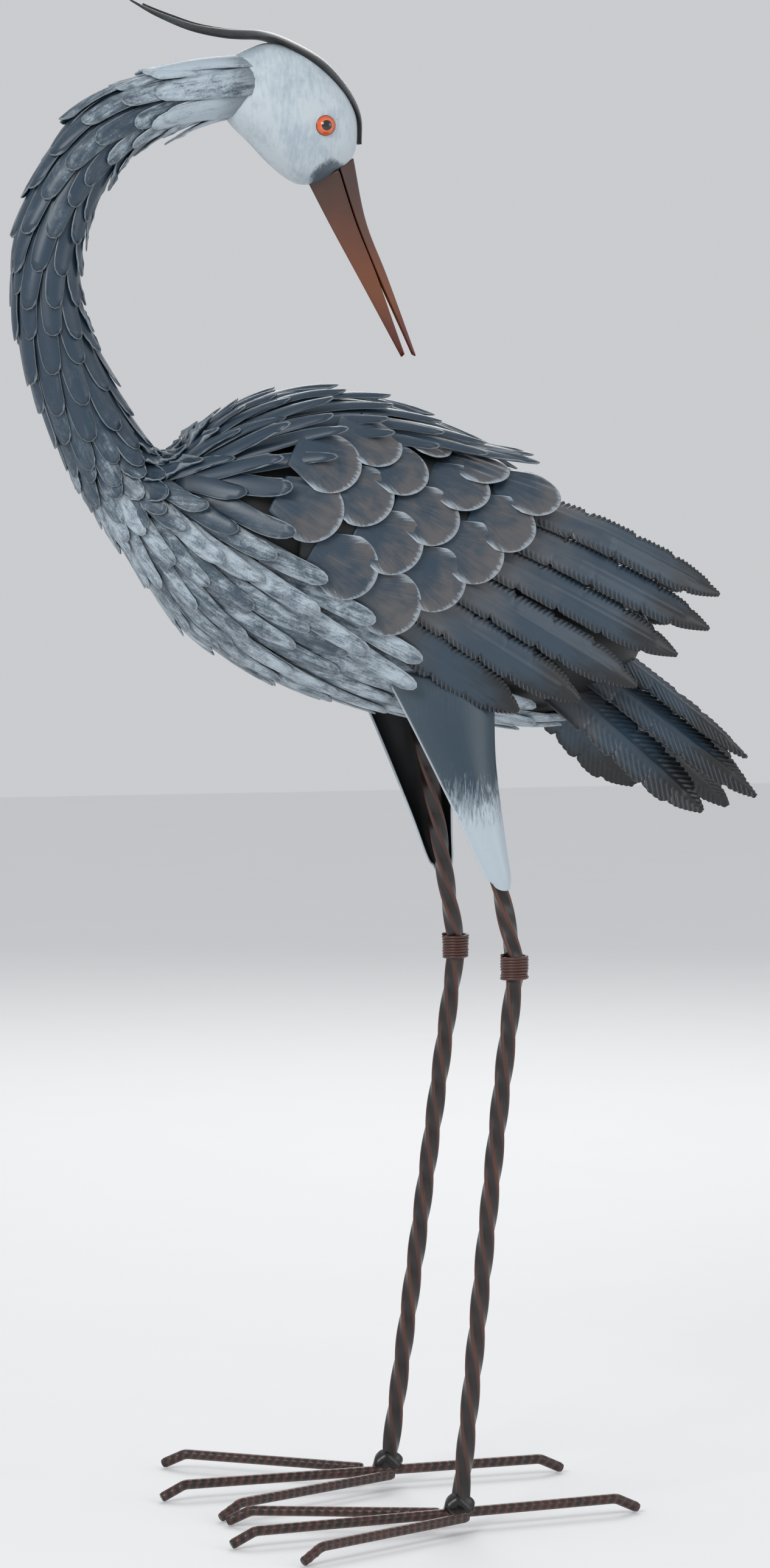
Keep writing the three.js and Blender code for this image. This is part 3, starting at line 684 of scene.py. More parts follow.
def sweep(path: np.ndarray, radius: np.ndarray, sides: int) -> tuple[np.ndarray, list]:
    """Makes a round tube with closed, rounded ends round a path.

    Args:
        path: the points of the axis.
        radius: the radius at each point.
        sides: points in a ring.
    Returns:
        The points and faces.
    """
    along = unit(np.gradient(path, axis=0))
    u = unit(np.cross(vec(0.02, 0.03, 1), along))
    v = np.cross(along, u)
    angle = np.arange(sides) * 2 * math.pi / sides
    rings = path[:, None] + radius[:, None, None] * (
        np.cos(angle)[None, :, None] * u[:, None] + np.sin(angle)[None, :, None] * v[:, None])
    count = len(path)
    points = np.vstack([rings.reshape(-1, 3), path[:1], path[-1:]])
    faces = grid_faces(count, sides, True)
    faces += [(count * sides, (j + 1) % sides, j) for j in range(sides)]
    last = (count - 1) * sides
    faces += [(count * sides + 1, last + j, last + (j + 1) % sides) for j in range(sides)]
    return points, faces


# Surfaces that carry feathers

@dataclass(frozen=True)
class Trunk:
    """The skin of neck and body: sections from the head to the rump, each with its front edge (x, z), back
    edge (x, z) and half width. Place s counts the sections; angle 0 is the front, pi the back, and positive
    angles lie on the left side."""

    sections: tuple[tuple[float, ...], ...] = (
        (-70, 884, -86, 849, 18), (-114, 880, -119, 843, 18), (-179, 857, -159, 824, 19),
        (-217, 803, -184, 785, 19), (-228, 746, -190, 742, 19), (-217, 690, -176, 702, 20),
        (-195, 641, -152, 656, 23), (-178, 612, -136, 643, 29), (-155, 582, -115, 659, 42),
        (-124, 543, -82, 677, 58), (-75, 514, -28, 680, 68), (-20, 497, 26, 663, 72),
        (34, 487, 72, 635, 68), (88, 482, 113, 604, 58), (128, 492, 147, 566, 40), (152, 512, 160, 541, 22),
    )

    @property
    def last(self) -> int:
        """The last section's number."""
        return len(self.sections) - 1

    def skin(self, s: np.ndarray, angle: np.ndarray, grow: float = 0.0) -> np.ndarray:
        """Gives points of the skin.

        Args:
            s: places along the trunk.
            angle: angles round it, as many.
            grow: how far the skin is moved outwards.
        Returns:
            The points.
        """
        s, angle = np.broadcast_arrays(np.asarray(s, float), np.asarray(angle, float))
        row = smooth(self.sections, s)
        zero = np.zeros_like(row[..., 0])
        front = np.stack([row[..., 0], zero, row[..., 1]], -1)
        back = np.stack([row[..., 2], zero, row[..., 3]], -1)
        centre = (front + back) / 2
        reach = (front - back) / 2
        length = np.linalg.norm(reach, axis=-1, keepdims=True)
        reach = reach * (length + grow) / length
        out = np.stack([zero, -(row[..., 4] + grow) * np.sin(angle), zero], -1)
        return centre + reach * np.cos(angle)[..., None] + out

    def frames(self, s: np.ndarray, angle: np.ndarray) -> tuple[np.ndarray, np.ndarray, np.ndarray, np.ndarray]:
        """Gives points of the skin with its direction along, round it and outwards; the first two unscaled."""
        e = 0.02
        point = self.skin(s, angle)
        along = (self.skin(s + e, angle) - self.skin(s - e, angle)) / (2 * e)
        round_ = (self.skin(s, angle + e) - self.skin(s, angle - e)) / (2 * e)
        return point, along, round_, unit(np.cross(along, round_))


@dataclass(frozen=True)
class WingChart:
    """The barrel-shaped surface that a wing lies on: a runs down the wing to the tail, c up to the back."""

    slope: float = math.radians(28)
    origin: tuple[float, float] = (0, 590)

    def point(self, side: Side, a: np.ndarray, c: np.ndarray, lift: np.ndarray | float = 0.0) -> np.ndarray:
        """Gives points at a lift above the surface.

        Args:
            side: left or right wing.
            a: places along the wing.
            c: places up the wing.
            lift: distance outwards.
        Returns:
            The points.
        """
        a, c, lift = np.broadcast_arrays(*(np.asarray(v, float) for v in (a, c, lift)))
        rear = np.clip(a / 110, 0, 1)
        tall = 84 + 22 * rear
        level = -12 + 12 * rear
        wide = 80 - 30 * np.maximum(a, 0) ** 2 / 40000 - 20 * np.minimum(a, 0) ** 2 / 14400
        turn = np.arcsin(np.clip((c - level) / tall, -0.98, 0.98))
        out = (wide + lift) * np.cos(turn)
        up = level + (tall + lift) * np.sin(turn)
        ca, sa = math.cos(self.slope), math.sin(self.slope)
        x = self.origin[0] + a * ca + up * sa
        return np.stack([x, side.value * out, self.origin[1] - a * sa + up * ca], -1)

    def place(self, point: np.ndarray) -> tuple[np.ndarray, np.ndarray, np.ndarray]:
        """Finds a point's a and c, and how far it lies inside the surface, roughly in millimetres."""
        dx = point[..., 0] - self.origin[0]
        dz = point[..., 2] - self.origin[1]
        ca, sa = math.cos(self.slope), math.sin(self.slope)
        a = dx * ca - dz * sa
        c = dx * sa + dz * ca
        rear = np.clip(a / 110, 0, 1)
        tall = 84 + 22 * rear
        level = -12 + 12 * rear
        wide = 80 - 30 * np.maximum(a, 0) ** 2 / 40000 - 20 * np.minimum(a, 0) ** 2 / 14400
        share = np.sqrt((point[..., 1] / wide) ** 2 + ((c - level) / tall) ** 2)
        return a, c, (1 - share) * wide

    def inside(self, point: np.ndarray) -> float:
        """Says how far a point lies inside the outline of the wings, in millimetres; negative outside."""
        if abs(point[1]) < 16:
            return -99.0
        a, c, _ = self.place(point)
        if a < -30:
            return float(58 - math.hypot(a + 30, c - 8))
        return float(min(70 - c, c + 58))

    def axes(self, side: Side, a: np.ndarray, c: np.ndarray) -> tuple[np.ndarray, np.ndarray, np.ndarray]:
        """Gives the unit directions along, up and out of the surface."""
        along = unit(self.point(side, a + 0.5, c) - self.point(side, a - 0.5, c))
        up = unit(self.point(side, a, c + 0.5) - self.point(side, a, c - 0.5))
        out = unit(np.cross(along, up))
        out *= np.sign(out[..., 1:2]) * side.value
        return along, up, out


TRUNK = Trunk()
WING = WingChart()


# Leaves: every cut sheet feather and scale comes from one node tree

class Leaf:
    """One list of leaves to be cut from sheet: where each starts, how it lies and how it is shaped."""

    VECTORS = ("start", "along", "across", "out")
    NUMBERS = ("long", "half", "lift", "rise", "dish", "bow", "sway", "waist", "taper", "tip", "band", "flute",
               "pale", "seed")

    def __init__(self) -> None:
        """Starts an empty list."""
        self.values: dict[str, list] = {name: [] for name in self.VECTORS + self.NUMBERS}

    def add(self, **values: np.ndarray | float) -> None:
        """Adds one leaf; what is not named is 0."""
        for name in self.VECTORS + self.NUMBERS:
            self.values[name].append(values.get(name, 0.0))

    def __len__(self) -> int:
        """The number of leaves."""
        return len(self.values["long"])

    def cloud(self, name: str) -> bpy.types.Object:
        """Makes the points that the node tree grows leaves on."""
        attributes = {key: np.array(value, float) for key, value in self.values.items()}
        start = attributes.pop("start")
        return mesh_object(name, start - SHIFT, [], attributes | {"start": start + SHIFT})


def leaf_tree() -> bpy.types.GeometryNodeTree:
    """Builds the node tree that grows a dished, round-tipped sheet leaf on each point of a cloud.

    Returns:
        The tree, with inputs for the grid of one leaf and for the material.
    """
    tree = bpy.data.node_groups.new("cut_leaves", "GeometryNodeTree")
    interface = tree.interface
    interface.new_socket("Cloud", in_out="INPUT", socket_type="NodeSocketGeometry")
    interface.new_socket("Points across", in_out="INPUT", socket_type="NodeSocketInt")
    interface.new_socket("Points along", in_out="INPUT", socket_type="NodeSocketInt")
    interface.new_socket("Paint", in_out="INPUT", socket_type="NodeSocketMaterial")
    interface.new_socket("Leaves", in_out="OUTPUT", socket_type="NodeSocketGeometry")
    g = Nodes(tree)
    entry = tree.nodes.new("NodeGroupInput")
    given = {socket.name: Signal(g, socket) for socket in entry.outputs if socket.name}

    def named(name: str, kind: str = "FLOAT") -> Signal:
        """Reads an attribute."""
        return g.add("GeometryNodeInputNamedAttribute", {"data_type": kind}, {"Name": name}, "Attribute")

    def stored(geometry: Signal, name: str, value: Signal, kind: str = "FLOAT") -> Signal:
        """Stores an attribute on the points."""
        inputs = {"Geometry": geometry, "Name": name, "Value": value}
        return g.add("GeometryNodeStoreNamedAttribute", {"data_type": kind, "domain": "POINT"}, inputs, "Geometry")

    sizes = {"Size X": 2.0, "Size Y": 1.0, "Vertices X": given["Points across"], "Vertices Y": given["Points along"]}
    grid = g.add("GeometryNodeMeshGrid", {}, sizes, "Mesh")
    px, py, _ = g.split(g.add("GeometryNodeInputPosition", {}, {}))
    v = (px * (math.pi / 2)).math("SINE")
    grid = stored(grid, "leaf", g.join(py + 0.5, v, 0.0), "FLOAT_VECTOR")
    grown = g.add("GeometryNodeInstanceOnPoints", {}, {"Points": given["Cloud"], "Instance": grid}, "Instances")
    mesh = g.add("GeometryNodeRealizeInstances", {}, {"Geometry": grown}, "Geometry")

    u, v, _ = g.split(named("leaf", "FLOAT_VECTOR"))
    n = {name: named(name) for name in Leaf.NUMBERS}
    rest = 1 - u
    tongue = 1 - n["waist"] * rest * rest - n["taper"] * u * u * u
    past_band = u.math("GREATER_THAN", n["band"])
    slot = ((u - n["band"]) * 9.0).math("MINIMUM", 1.0).math("MAXIMUM", 0.0) * past_band
    half = n["half"] * (1.06 + (tongue - 1.06) * slot)
    arc = 1 - (1 - v * v).math("MAXIMUM", 0.0).math("SQRT")
    x = n["long"] * u - n["tip"] * arc * u * u
    swing = (u * math.pi).math("COSINE") * -0.5 + 0.5
    y = v * half + n["sway"] * swing
    flutes = (v * 16.0 + n["seed"] * 5.0).math("SINE") * u * rest * 3.0
    flutes = flutes + (v * 9.0 + u * 5.0 + n["seed"] * 3.0).math("SINE") * u * rest * 2.0
    z = n["lift"] + n["rise"] * u + n["bow"] * u * rest * 4.0 - n["dish"] * v * v + n["flute"] * flutes
    place = g.vector("ADD", named("start", "FLOAT_VECTOR"),
                     g.vector("SCALE", named("along", "FLOAT_VECTOR"), scale=x))
    place = g.vector("ADD", place, g.vector("SCALE", named("across", "FLOAT_VECTOR"), scale=y))
    place = g.vector("ADD", place, g.vector("SCALE", named("out", "FLOAT_VECTOR"), scale=z))
    side_gap = (1 - v.math("ABSOLUTE")) * half
    end_gap = rest * n["long"]
    rim = side_gap.math("MINIMUM", end_gap) + (1 - past_band) * 2.0
    mesh = stored(mesh, "grain", g.join(x, y, n["seed"] * 17.0), "FLOAT_VECTOR")
    mesh = stored(mesh, "rim", rim)
    inputs = {"Geometry": mesh, "Position": g.vector("SCALE", place, scale=MM)}
    mesh = g.add("GeometryNodeSetPosition", {}, inputs, "Geometry")
    mesh = g.add("GeometryNodeSetShadeSmooth", {}, {"Geometry": mesh}, "Geometry")
    mesh = g.add("GeometryNodeSetMaterial", {}, {"Geometry": mesh, "Material": given["Paint"]}, "Geometry")
    leave = tree.nodes.new("NodeGroupOutput")
    tree.links.new(mesh.socket, leave.inputs["Leaves"])
    return tree


def run_tree(piece: bpy.types.Object, tree: bpy.types.GeometryNodeTree, values: dict, name: str) -> bpy.types.Object:
    """Runs a node tree on an object and keeps the result as a plain mesh.

    Args:
        piece: the object that the tree reads; it is removed.
        tree: the node tree.
        values: its inputs by name.
        name: the new piece's name.
    Returns:
        The new object.
    """
    modifier = piece.modifiers.new("grow", "NODES")
    modifier.node_group = tree
    for item in tree.interface.items_tree:
        if item.item_type == "SOCKET" and item.in_out == "INPUT" and item.name in values:
            modifier[item.identifier] = values[item.name]
    bpy.context.view_layer.update()
    graph = bpy.context.evaluated_depsgraph_get()
    mesh = bpy.data.meshes.new_from_object(piece.evaluated_get(graph), depsgraph=graph)
    mesh.name = name
    grown = bpy.data.objects.new(name, mesh)
    bpy.context.scene.collection.objects.link(grown)
    bpy.data.objects.remove(piece)
    return grown


class Sheet:
    """Cuts lists of leaves from sheet with one shared node tree."""

    def __init__(self) -> None:
        """Builds the tree once."""
        self.tree = leaf_tree()

    def cut(self, name: str, leaves: Leaf, paint: bpy.types.Material, across: int = 7, along: int = 9,
            thickness: float = 0.8) -> bpy.types.Object:
        """Makes one piece from a list of leaves.

        Args:
            name: the piece's name.
            leaves: the leaves.
            paint: their material.
            across: points across a leaf.
            along: points along it.
            thickness: the sheet's thickness in millimetres.
        Returns:
            The piece.
        """
        cloud = leaves.cloud(name + "_cloud")
        values = {"Points across": across, "Points along": along, "Paint": paint}
        piece = run_tree(cloud, self.tree, values, name)
        solidify(piece, thickness)
        return piece


# Neck and body

@dataclass
class FeatherCoat:
    """Rows of cut feathers on the trunk's skin."""

    sheet: Sheet
    paint: bpy.types.Material
    inside: bpy.types.Material
    seed: int = 4

    def paleness(self, s: np.ndarray, angle: np.ndarray) -> np.ndarray:
        """Says how much pale paint a place got: most at the head and on breast and belly."""
        turned = np.abs((angle + math.pi) % (2 * math.pi) - math.pi) / math.pi
        neck = smooth([[0.98], [0.80], [0.40], [0.08], [0.02], [0.10], [0.22], [0.30], [0.36]], s)[..., 0]
        lower = 0.56 - 0.56 * ramp(turned, 0.36, 0.66)
        blend = ramp(s, 5.2, 8.0)
        throat = 0.22 * ramp(turned, 0.7, 1.0) * ramp(s, 4.5, 6.0)
        return neck * (1 - blend) + lower * blend - throat * (1 - blend)

    def leaf(self, leaves: Leaf, rng: np.random.Generator, s: float, angle: float, span: float, pitch: float,
             **shape: float) -> None:
        """Adds one feather that starts at a place of the skin and follows it for a span of sections."""
        jitter = rng.normal(0, 1, 4)
        places = np.array([s, s + span / 2, s + span])
        swing = shape.pop("swing", 0.0)
        angles = angle + swing * np.array([0, 0.5, 1])
        point, along, round_, out = TRUNK.frames(places, angles)
        _, c, depth = WING.place(point[2])
        if WING.place(point[0])[0] < -30 and c < 70 and WING.inside(point[2]) > -6:
            point[2] += out[2] * (min(max(float(depth), 0.0), 16.0) + 3.0)
        chord = point[2] - point[0]
        long = float(np.linalg.norm(chord))
        direction = chord / long
        normal = unit(out[1] - direction * (out[1] @ direction))
        across = np.cross(direction, normal)
        middle = (point[0] + point[2]) / 2
        bow = float((point[1] - middle) @ normal)
        girth = float(np.linalg.norm(round_[1]))
        half = pitch / 2
        values = dict(lift=-0.4, rise=4.4, dish=0.5, waist=0.16, taper=0.16, tip=half * 1.25, band=0.16, flute=0.0)
        values |= shape
        values["dish"] += half ** 2 / (2 * max(girth, 12.0))
        values["rise"] += 0.5 * jitter[0]
        values["sway"] = values.get("sway", 0.0) * (1 + 0.3 * jitter[1])
        values["tip"] *= 1 + 0.12 * jitter[2]
        pale = float(self.paleness(np.array(s + span * 0.7), np.array(angle))) + 0.07 * jitter[3]
        leaves.add(start=point[0], along=direction, across=across, out=normal, long=long * (1 + 0.05 * jitter[1]),
                   half=half, bow=bow, pale=pale, seed=float(rng.uniform(0, 50)), **values)

    def row(self, leaves: Leaf, rng: np.random.Generator, s: float, span: float, pitch: float, offset: float,
            keep: Callable[[float, float], bool] = lambda s, angle: True, **shape: float) -> None:
        """Adds one ring of feathers."""
        ring = TRUNK.skin(np.full(73, s + span * 0.4), np.linspace(0, 2 * math.pi, 73))
        steps = np.linalg.norm(np.diff(ring, axis=0), axis=1)
        travelled = np.concatenate([[0], np.cumsum(steps)])
        count = max(6, round(travelled[-1] / pitch))
        for k in range(count):
            way = (k + offset) / count * travelled[-1]
            angle = float(np.interp(way % travelled[-1], travelled, np.linspace(0, 2 * math.pi, 73)))
            if keep(s, angle):
                side = 1 if math.sin(angle) >= 0 else -1
                local = dict(shape)
                local["sway"] = side * local.get("sway", 0.0)
                self.leaf(leaves, rng, s, angle, span, travelled[-1] / count, **local)

    def core(self, name: str, low: float, high: float, grow: float) -> bpy.types.Object:
        """Makes the dark inner tube that shows through the slots."""
        rows, sides = 60, 40
        s = np.linspace(low, high, rows)[:, None]
        angle = np.linspace(0, 2 * math.pi, sides, endpoint=False)[None]
        points = TRUNK.skin(s, angle, grow).reshape(-1, 3)
        ends = [points[:sides].mean(0), points[-sides:].mean(0)]
        faces = [tuple(reversed(face)) for face in grid_faces(rows, sides, True)]
        first, last = rows * sides, rows * sides + 1
        faces += [(first, j, (j + 1) % sides) for j in range(sides)]
        start = (rows - 1) * sides
        faces += [(last, start + (j + 1) % sides, start + j) for j in range(sides)]
        return mesh_object(name, np.vstack([points, ends]), faces)


@dataclass
class Neck(FeatherCoat):
    """The arched neck from the slotted collar at the head to the shoulder."""

    def build(self) -> None:
        """Builds collar, feathers and inner tube."""
        rng = np.random.default_rng(self.seed)
        leaves = Leaf()
        self.row(leaves, rng, 0.12, 1.45, 15.5, 0.5, band=0.34, rise=3.4, waist=0.05, taper=0.3, sway=2.5, lift=1.2)
        rows = 17
        for row in range(rows):
            s = 0.62 + row * 0.385
            pitch = 13.2 + 1.6 * row / rows
            self.row(leaves, rng, s, 0.9, pitch, (row % 2) / 2 + 0.13 * row, sway=2.6, dish=1.0, rise=4.2)
        piece = self.sheet.cut("neck_feathers", leaves, self.paint)
        dress(piece, "neck_paint", ["neck"], self.paint)
        tube = self.core("neck_inside", 0.1, 7.2, -1.6)
        dress(tube, "neck_paint", [], self.inside)


@dataclass
class Body(FeatherCoat):
    """The body: round tongues on breast and belly, long slender feathers over the back."""

    breast_span: float = 1.32
    back_span: float = 1.75
    root_cover: float = 4.0
    tip_cover: float = 22.0

    def hidden(self, s: float, angle: float, span: float) -> bool:
        """Says whether a feather would lie under a wing, or reach further over it than its first scales.

        Args:
            s: where the feather starts along the trunk.
            angle: where it starts round the trunk.
            span: the sections that it spans.
        Returns:
            True where it is left out.
        """
        start = WING.inside(TRUNK.skin(np.array(s), np.array(angle)))
        tip = WING.inside(TRUNK.skin(np.array(s + 0.95 * span), np.array(angle)))
        return start > self.root_cover or tip > self.tip_cover

    def build(self) -> None:
        """Builds the two coats and the inner shell."""
        rng = np.random.default_rng(self.seed + 1)
        leaves = Leaf()

        def turned(angle: float) -> float:
            """The angle from the belly, as a share of half a turn."""
            return abs((angle + math.pi) % (2 * math.pi) - math.pi) / math.pi

        def on_breast(s: float, angle: float) -> bool:
            """Keeps what lies on the lower part and is not hidden."""
            return turned(angle) < 0.60 and not self.hidden(s, angle, self.breast_span)

        def on_back(s: float, angle: float) -> bool:
            """Keeps what lies on the upper part and is not hidden."""
            return turned(angle) >= 0.60 and not self.hidden(s, angle, self.back_span)

        rows = 15
        for row in range(rows):
            s = 6.55 + row * 0.56
            wide = 13.6 + 1.2 * ramp(s, 7, 9)
            self.row(leaves, rng, s, self.breast_span, float(wide), (row % 2) / 2 + 0.11 * row, on_breast, sway=6.5,
                     rise=5.4, dish=1.1, band=0.16, taper=0.3)
        for row in range(rows):
            s = 6.5 + row * 0.55
            self.row(leaves, rng, s, self.back_span, 11.4, (row % 2) / 2 + 0.17 * row, on_back, sway=-6.0, rise=6.5,
                     waist=0.3, taper=0.42, tip=11.0, dish=1.2, band=0.1)
        piece = self.sheet.cut("body_feathers", leaves, self.paint)
        dress(piece, "body_paint", ["body"], self.paint)
        shell = self.core("body_inside", 7.0, TRUNK.last, -3.2)
        dress(shell, "body_paint", [], self.inside)


# Head

@dataclass
class Head:
    """The skull's two domed half shells, built as one shell, the eyes, the cap with its plume and the bill."""

    paint: bpy.types.Material
    cap: bpy.types.Material
    bill: bpy.types.Material
    bead: bpy.types.Material
    outline: tuple[tuple[float, float], ...] = (
        (-100, 878), (-78, 891), (-59, 890), (-43.4, 882), (-27.6, 866.4), (-19.4, 851.4), (-18, 838),
        (-19.9, 826), (-27.6, 817.4), (-42, 809), (-55, 808), (-69, 817), (-83, 831), (-100, 850),
    )
    centre: tuple[float, float] = (-56, 850)
    half_width: float = 24
    skull: float = 40

    def build(self) -> None:
        """Builds every piece of the head."""
        self.shell()
        for side in Side:
            self.eye(side)
        self.crest()
        self.beak()

    def shell(self) -> None:
        """Builds the domed skull from rings that shrink to both sides."""
        around, levels = 112, 41
        closed = np.array(self.outline + self.outline[:3])
        turns = np.linspace(0, len(self.outline), around, endpoint=False) + 1
        line = smooth(closed, turns)
        level = np.linspace(-math.pi / 2, math.pi / 2, levels)[1:-1]
        shrink = np.cos(level) ** 0.8
        cx, cz = self.centre
        x = cx + (line[None, :, 0] - cx) * shrink[:, None]
        z = cz + (line[None, :, 1] - cz) * shrink[:, None]
        y = np.repeat(self.half_width * np.sin(level)[:, None], around, 1)
        points = np.stack([x, y, z], -1).reshape(-1, 3)
        poles = [vec(cx, -self.half_width, cz), vec(cx, self.half_width, cz)]
        rows = levels - 2
        faces = grid_faces(rows, around, True)
        faces += [(rows * around, (j + 1) % around, j) for j in range(around)]
        start = (rows - 1) * around
        faces += [(rows * around + 1, start + j, start + (j + 1) % around) for j in range(around)]
        points = np.vstack([points, poles])
        to_bill = np.hypot(points[:, 0] + 37, points[:, 2] - 811)
        smudge = 1 - ramp(to_bill, 6, 19)
        top = ramp(self.crown_distance(points), -6, -1) * ramp(points[:, 2], 850, 872)
        smudge = np.maximum(smudge, 0.55 * top)
        piece = mesh_object("head_shell", points, faces, {"smudge": smudge})
        dress(piece, "head_paint", ["head"], self.paint)

    def crown_distance(self, points: np.ndarray) -> np.ndarray:
        """Gives the height of points against the cap's ridge line, in millimetres."""
        ridge = np.array(self.ridge)[:, :2]
        order = np.argsort(ridge[:, 0])
        line = np.interp(points[:, 0], ridge[order, 0], ridge[order, 1])
        return points[:, 2] - line

    def eye(self, side: Side) -> None:
        """Builds a domed bead in a thin ring."""
        profile = np.array([[6.2, 0.0], [6.2, 5.6], [6.0, 6.3], [5.7, 6.5], [5.5, 6.35], [5.3, 6.5], [4.4, 7.6],
                            [3.2, 8.6], [1.8, 9.3], [0.6, 9.55]])
        turn = np.arange(48) * 2 * math.pi / 48
        rings = np.stack([profile[:, :1] * np.cos(turn), np.repeat(profile[:, 1:], 48, 1),
                          profile[:, :1] * np.sin(turn)], -1)
        points = np.vstack([rings.reshape(-1, 3), [vec(0, 9.6, 0), vec(0, 0, 0)]])
        points[:, 1] = side.value * (points[:, 1] + 17.5)
        points += vec(EYE_PLACE[0], 0, EYE_PLACE[2])
        rows = len(profile)
        faces = grid_faces(rows, 48, True)
        faces += [(rows * 48, (rows - 1) * 48 + j, (rows - 1) * 48 + (j + 1) % 48) for j in range(48)]
        faces += [(rows * 48 + 1, (j + 1) % 48, j) for j in range(48)]
        if side is Side.LEFT:
            faces = [tuple(reversed(face)) for face in faces]
        piece = mesh_object(f"{side.word}_eye_bead", points, faces)
        dress(piece, "eye_gloss", [f"{side.word}_eye"], self.bead)

    ridge: tuple[tuple[float, ...], ...] = (
        (-15.6, 832, 3, 0.6), (-16.4, 849, 9, 2.4), (-24.3, 865.4, 12, 3.6), (-39.2, 881.6, 13.5, 3.9),
        (-59.8, 893, 12, 4.2), (-76, 898, 9, 4.6), (-97, 899, 6.5, 4.4), (-116, 902, 5.5, 4.0),
        (-132, 907, 4.5, 3.4), (-146, 912, 3, 2.0), (-157, 917, 1, 0.6),
    )

    def crest(self) -> None:
        """Builds the folded cap, drawn out into two narrow strips behind, the left one longer."""
        for side in Side:
            long = 1.0 if side is Side.LEFT else 0.93
            rows, columns = 120, 9
            s = np.linspace(0, (len(self.ridge) - 1) * long, rows)
            line = smooth(self.ridge, s)
            tangent = unit(np.gradient(line[:, :2], axis=0))
            out = np.stack([tangent[:, 1], -tangent[:, 0]], -1)
            v = np.linspace(0, 1, columns)[None, :, None]
            end = np.clip((s[-1] - s) / 1.2, 0, 1)[:, None, None] ** 0.5
            half = line[:, None, 2:3] * (0.15 + 0.85 * end)
            tail = ramp(s, 5.2, 8)[:, None, None]
            free = line[:, None, 3:4] * v ** 1.3 * (0.15 + 0.85 * end) + tail * (1.4 if side is Side.LEFT else 0.0)
            hug = self.skull * (1 - (1 - (half * v / self.half_width) ** 2) ** 0.4) + 0.9 * v
            over_head = 1 - ramp(s, 4.2, 5.6)[:, None, None]
            fall = free * (1 - over_head) + hug * over_head
            x = line[:, None, 0:1] - out[:, None, 0:1] * fall
            z = line[:, None, 1:2] - out[:, None, 1:2] * fall
            y = side.value * (half * v + 0.05 + tail * 0.5)
            points = np.concatenate([x, y + 0 * x, z], -1).reshape(-1, 3)
            rim = np.minimum((1 - v) * half, (s[-1] - s)[:, None, None] * 12)
            rim = np.broadcast_to(rim, (rows, columns, 1)).reshape(-1)
            faces = grid_faces(rows, columns)
            if side is Side.RIGHT:
                faces = [tuple(reversed(face)) for face in faces]
            piece = mesh_object(f"crest_{side.word}_half", points, faces, {"rim": rim})
            solidify(piece, 1.1)
            dress(piece, "crest_paint", ["crest"], self.cap)

    def beak(self) -> None:
        """Builds the two folded bill sheets."""
        lower = (((-50, 810), (-34, 781), (-14, 746), (10, 704)), ((-31.5, 816), (-20, 784), (-6, 752), (11.5, 705.5)))
        upper = (((-19, 824), (-11.5, 786), (2, 752), (19.5, 705)), ((-30, 818.5), (-18.3, 785.6), (-4, 752.5),
                                                                   (17.8, 706)))
        for name, (ridge, edge), wide in (("lower_beak", lower, 9.5), ("upper_beak", upper, 8.0)):
            rows = 60
            s = np.linspace(0, 3, rows)
            r, e = smooth(ridge, s), smooth(edge, s)
            half = wide + (1.6 - wide) * (s / 3) ** 0.9
            v = np.array([-1, -0.94, -0.6, -0.25, -0.08, 0, 0.08, 0.25, 0.6, 0.94, 1.0])
            w = np.sqrt(v * v + 0.004)[None, :, None]
            flat = r[:, None] * (1 - w) + e[:, None] * w
            y = half[:, None, None] * v[None, :, None]
            points = np.concatenate([flat[..., :1], y, flat[..., 1:]], -1).reshape(-1, 3)
            faces = grid_faces(rows, len(v))
            piece = mesh_object(f"{name}_sheet", points, faces)
            self.turn_outwards(piece, r[rows // 2], e[rows // 2])
            solidify(piece, 1.3)
            dress(piece, "beak_paint", [name], self.bill)

    @staticmethod
    def turn_outwards(piece: bpy.types.Object, ridge: np.ndarray, edge: np.ndarray) -> None:
        """Flips a folded sheet whose faces look into the fold."""
        mesh = piece.data
        away = Vector((ridge[0] - edge[0], 0, ridge[1] - edge[1]))
        total = sum((p.normal.dot(away) * p.area for p in mesh.polygons), 0.0)
        if total < 0:
            mesh.flip_normals()


# Wings and tail

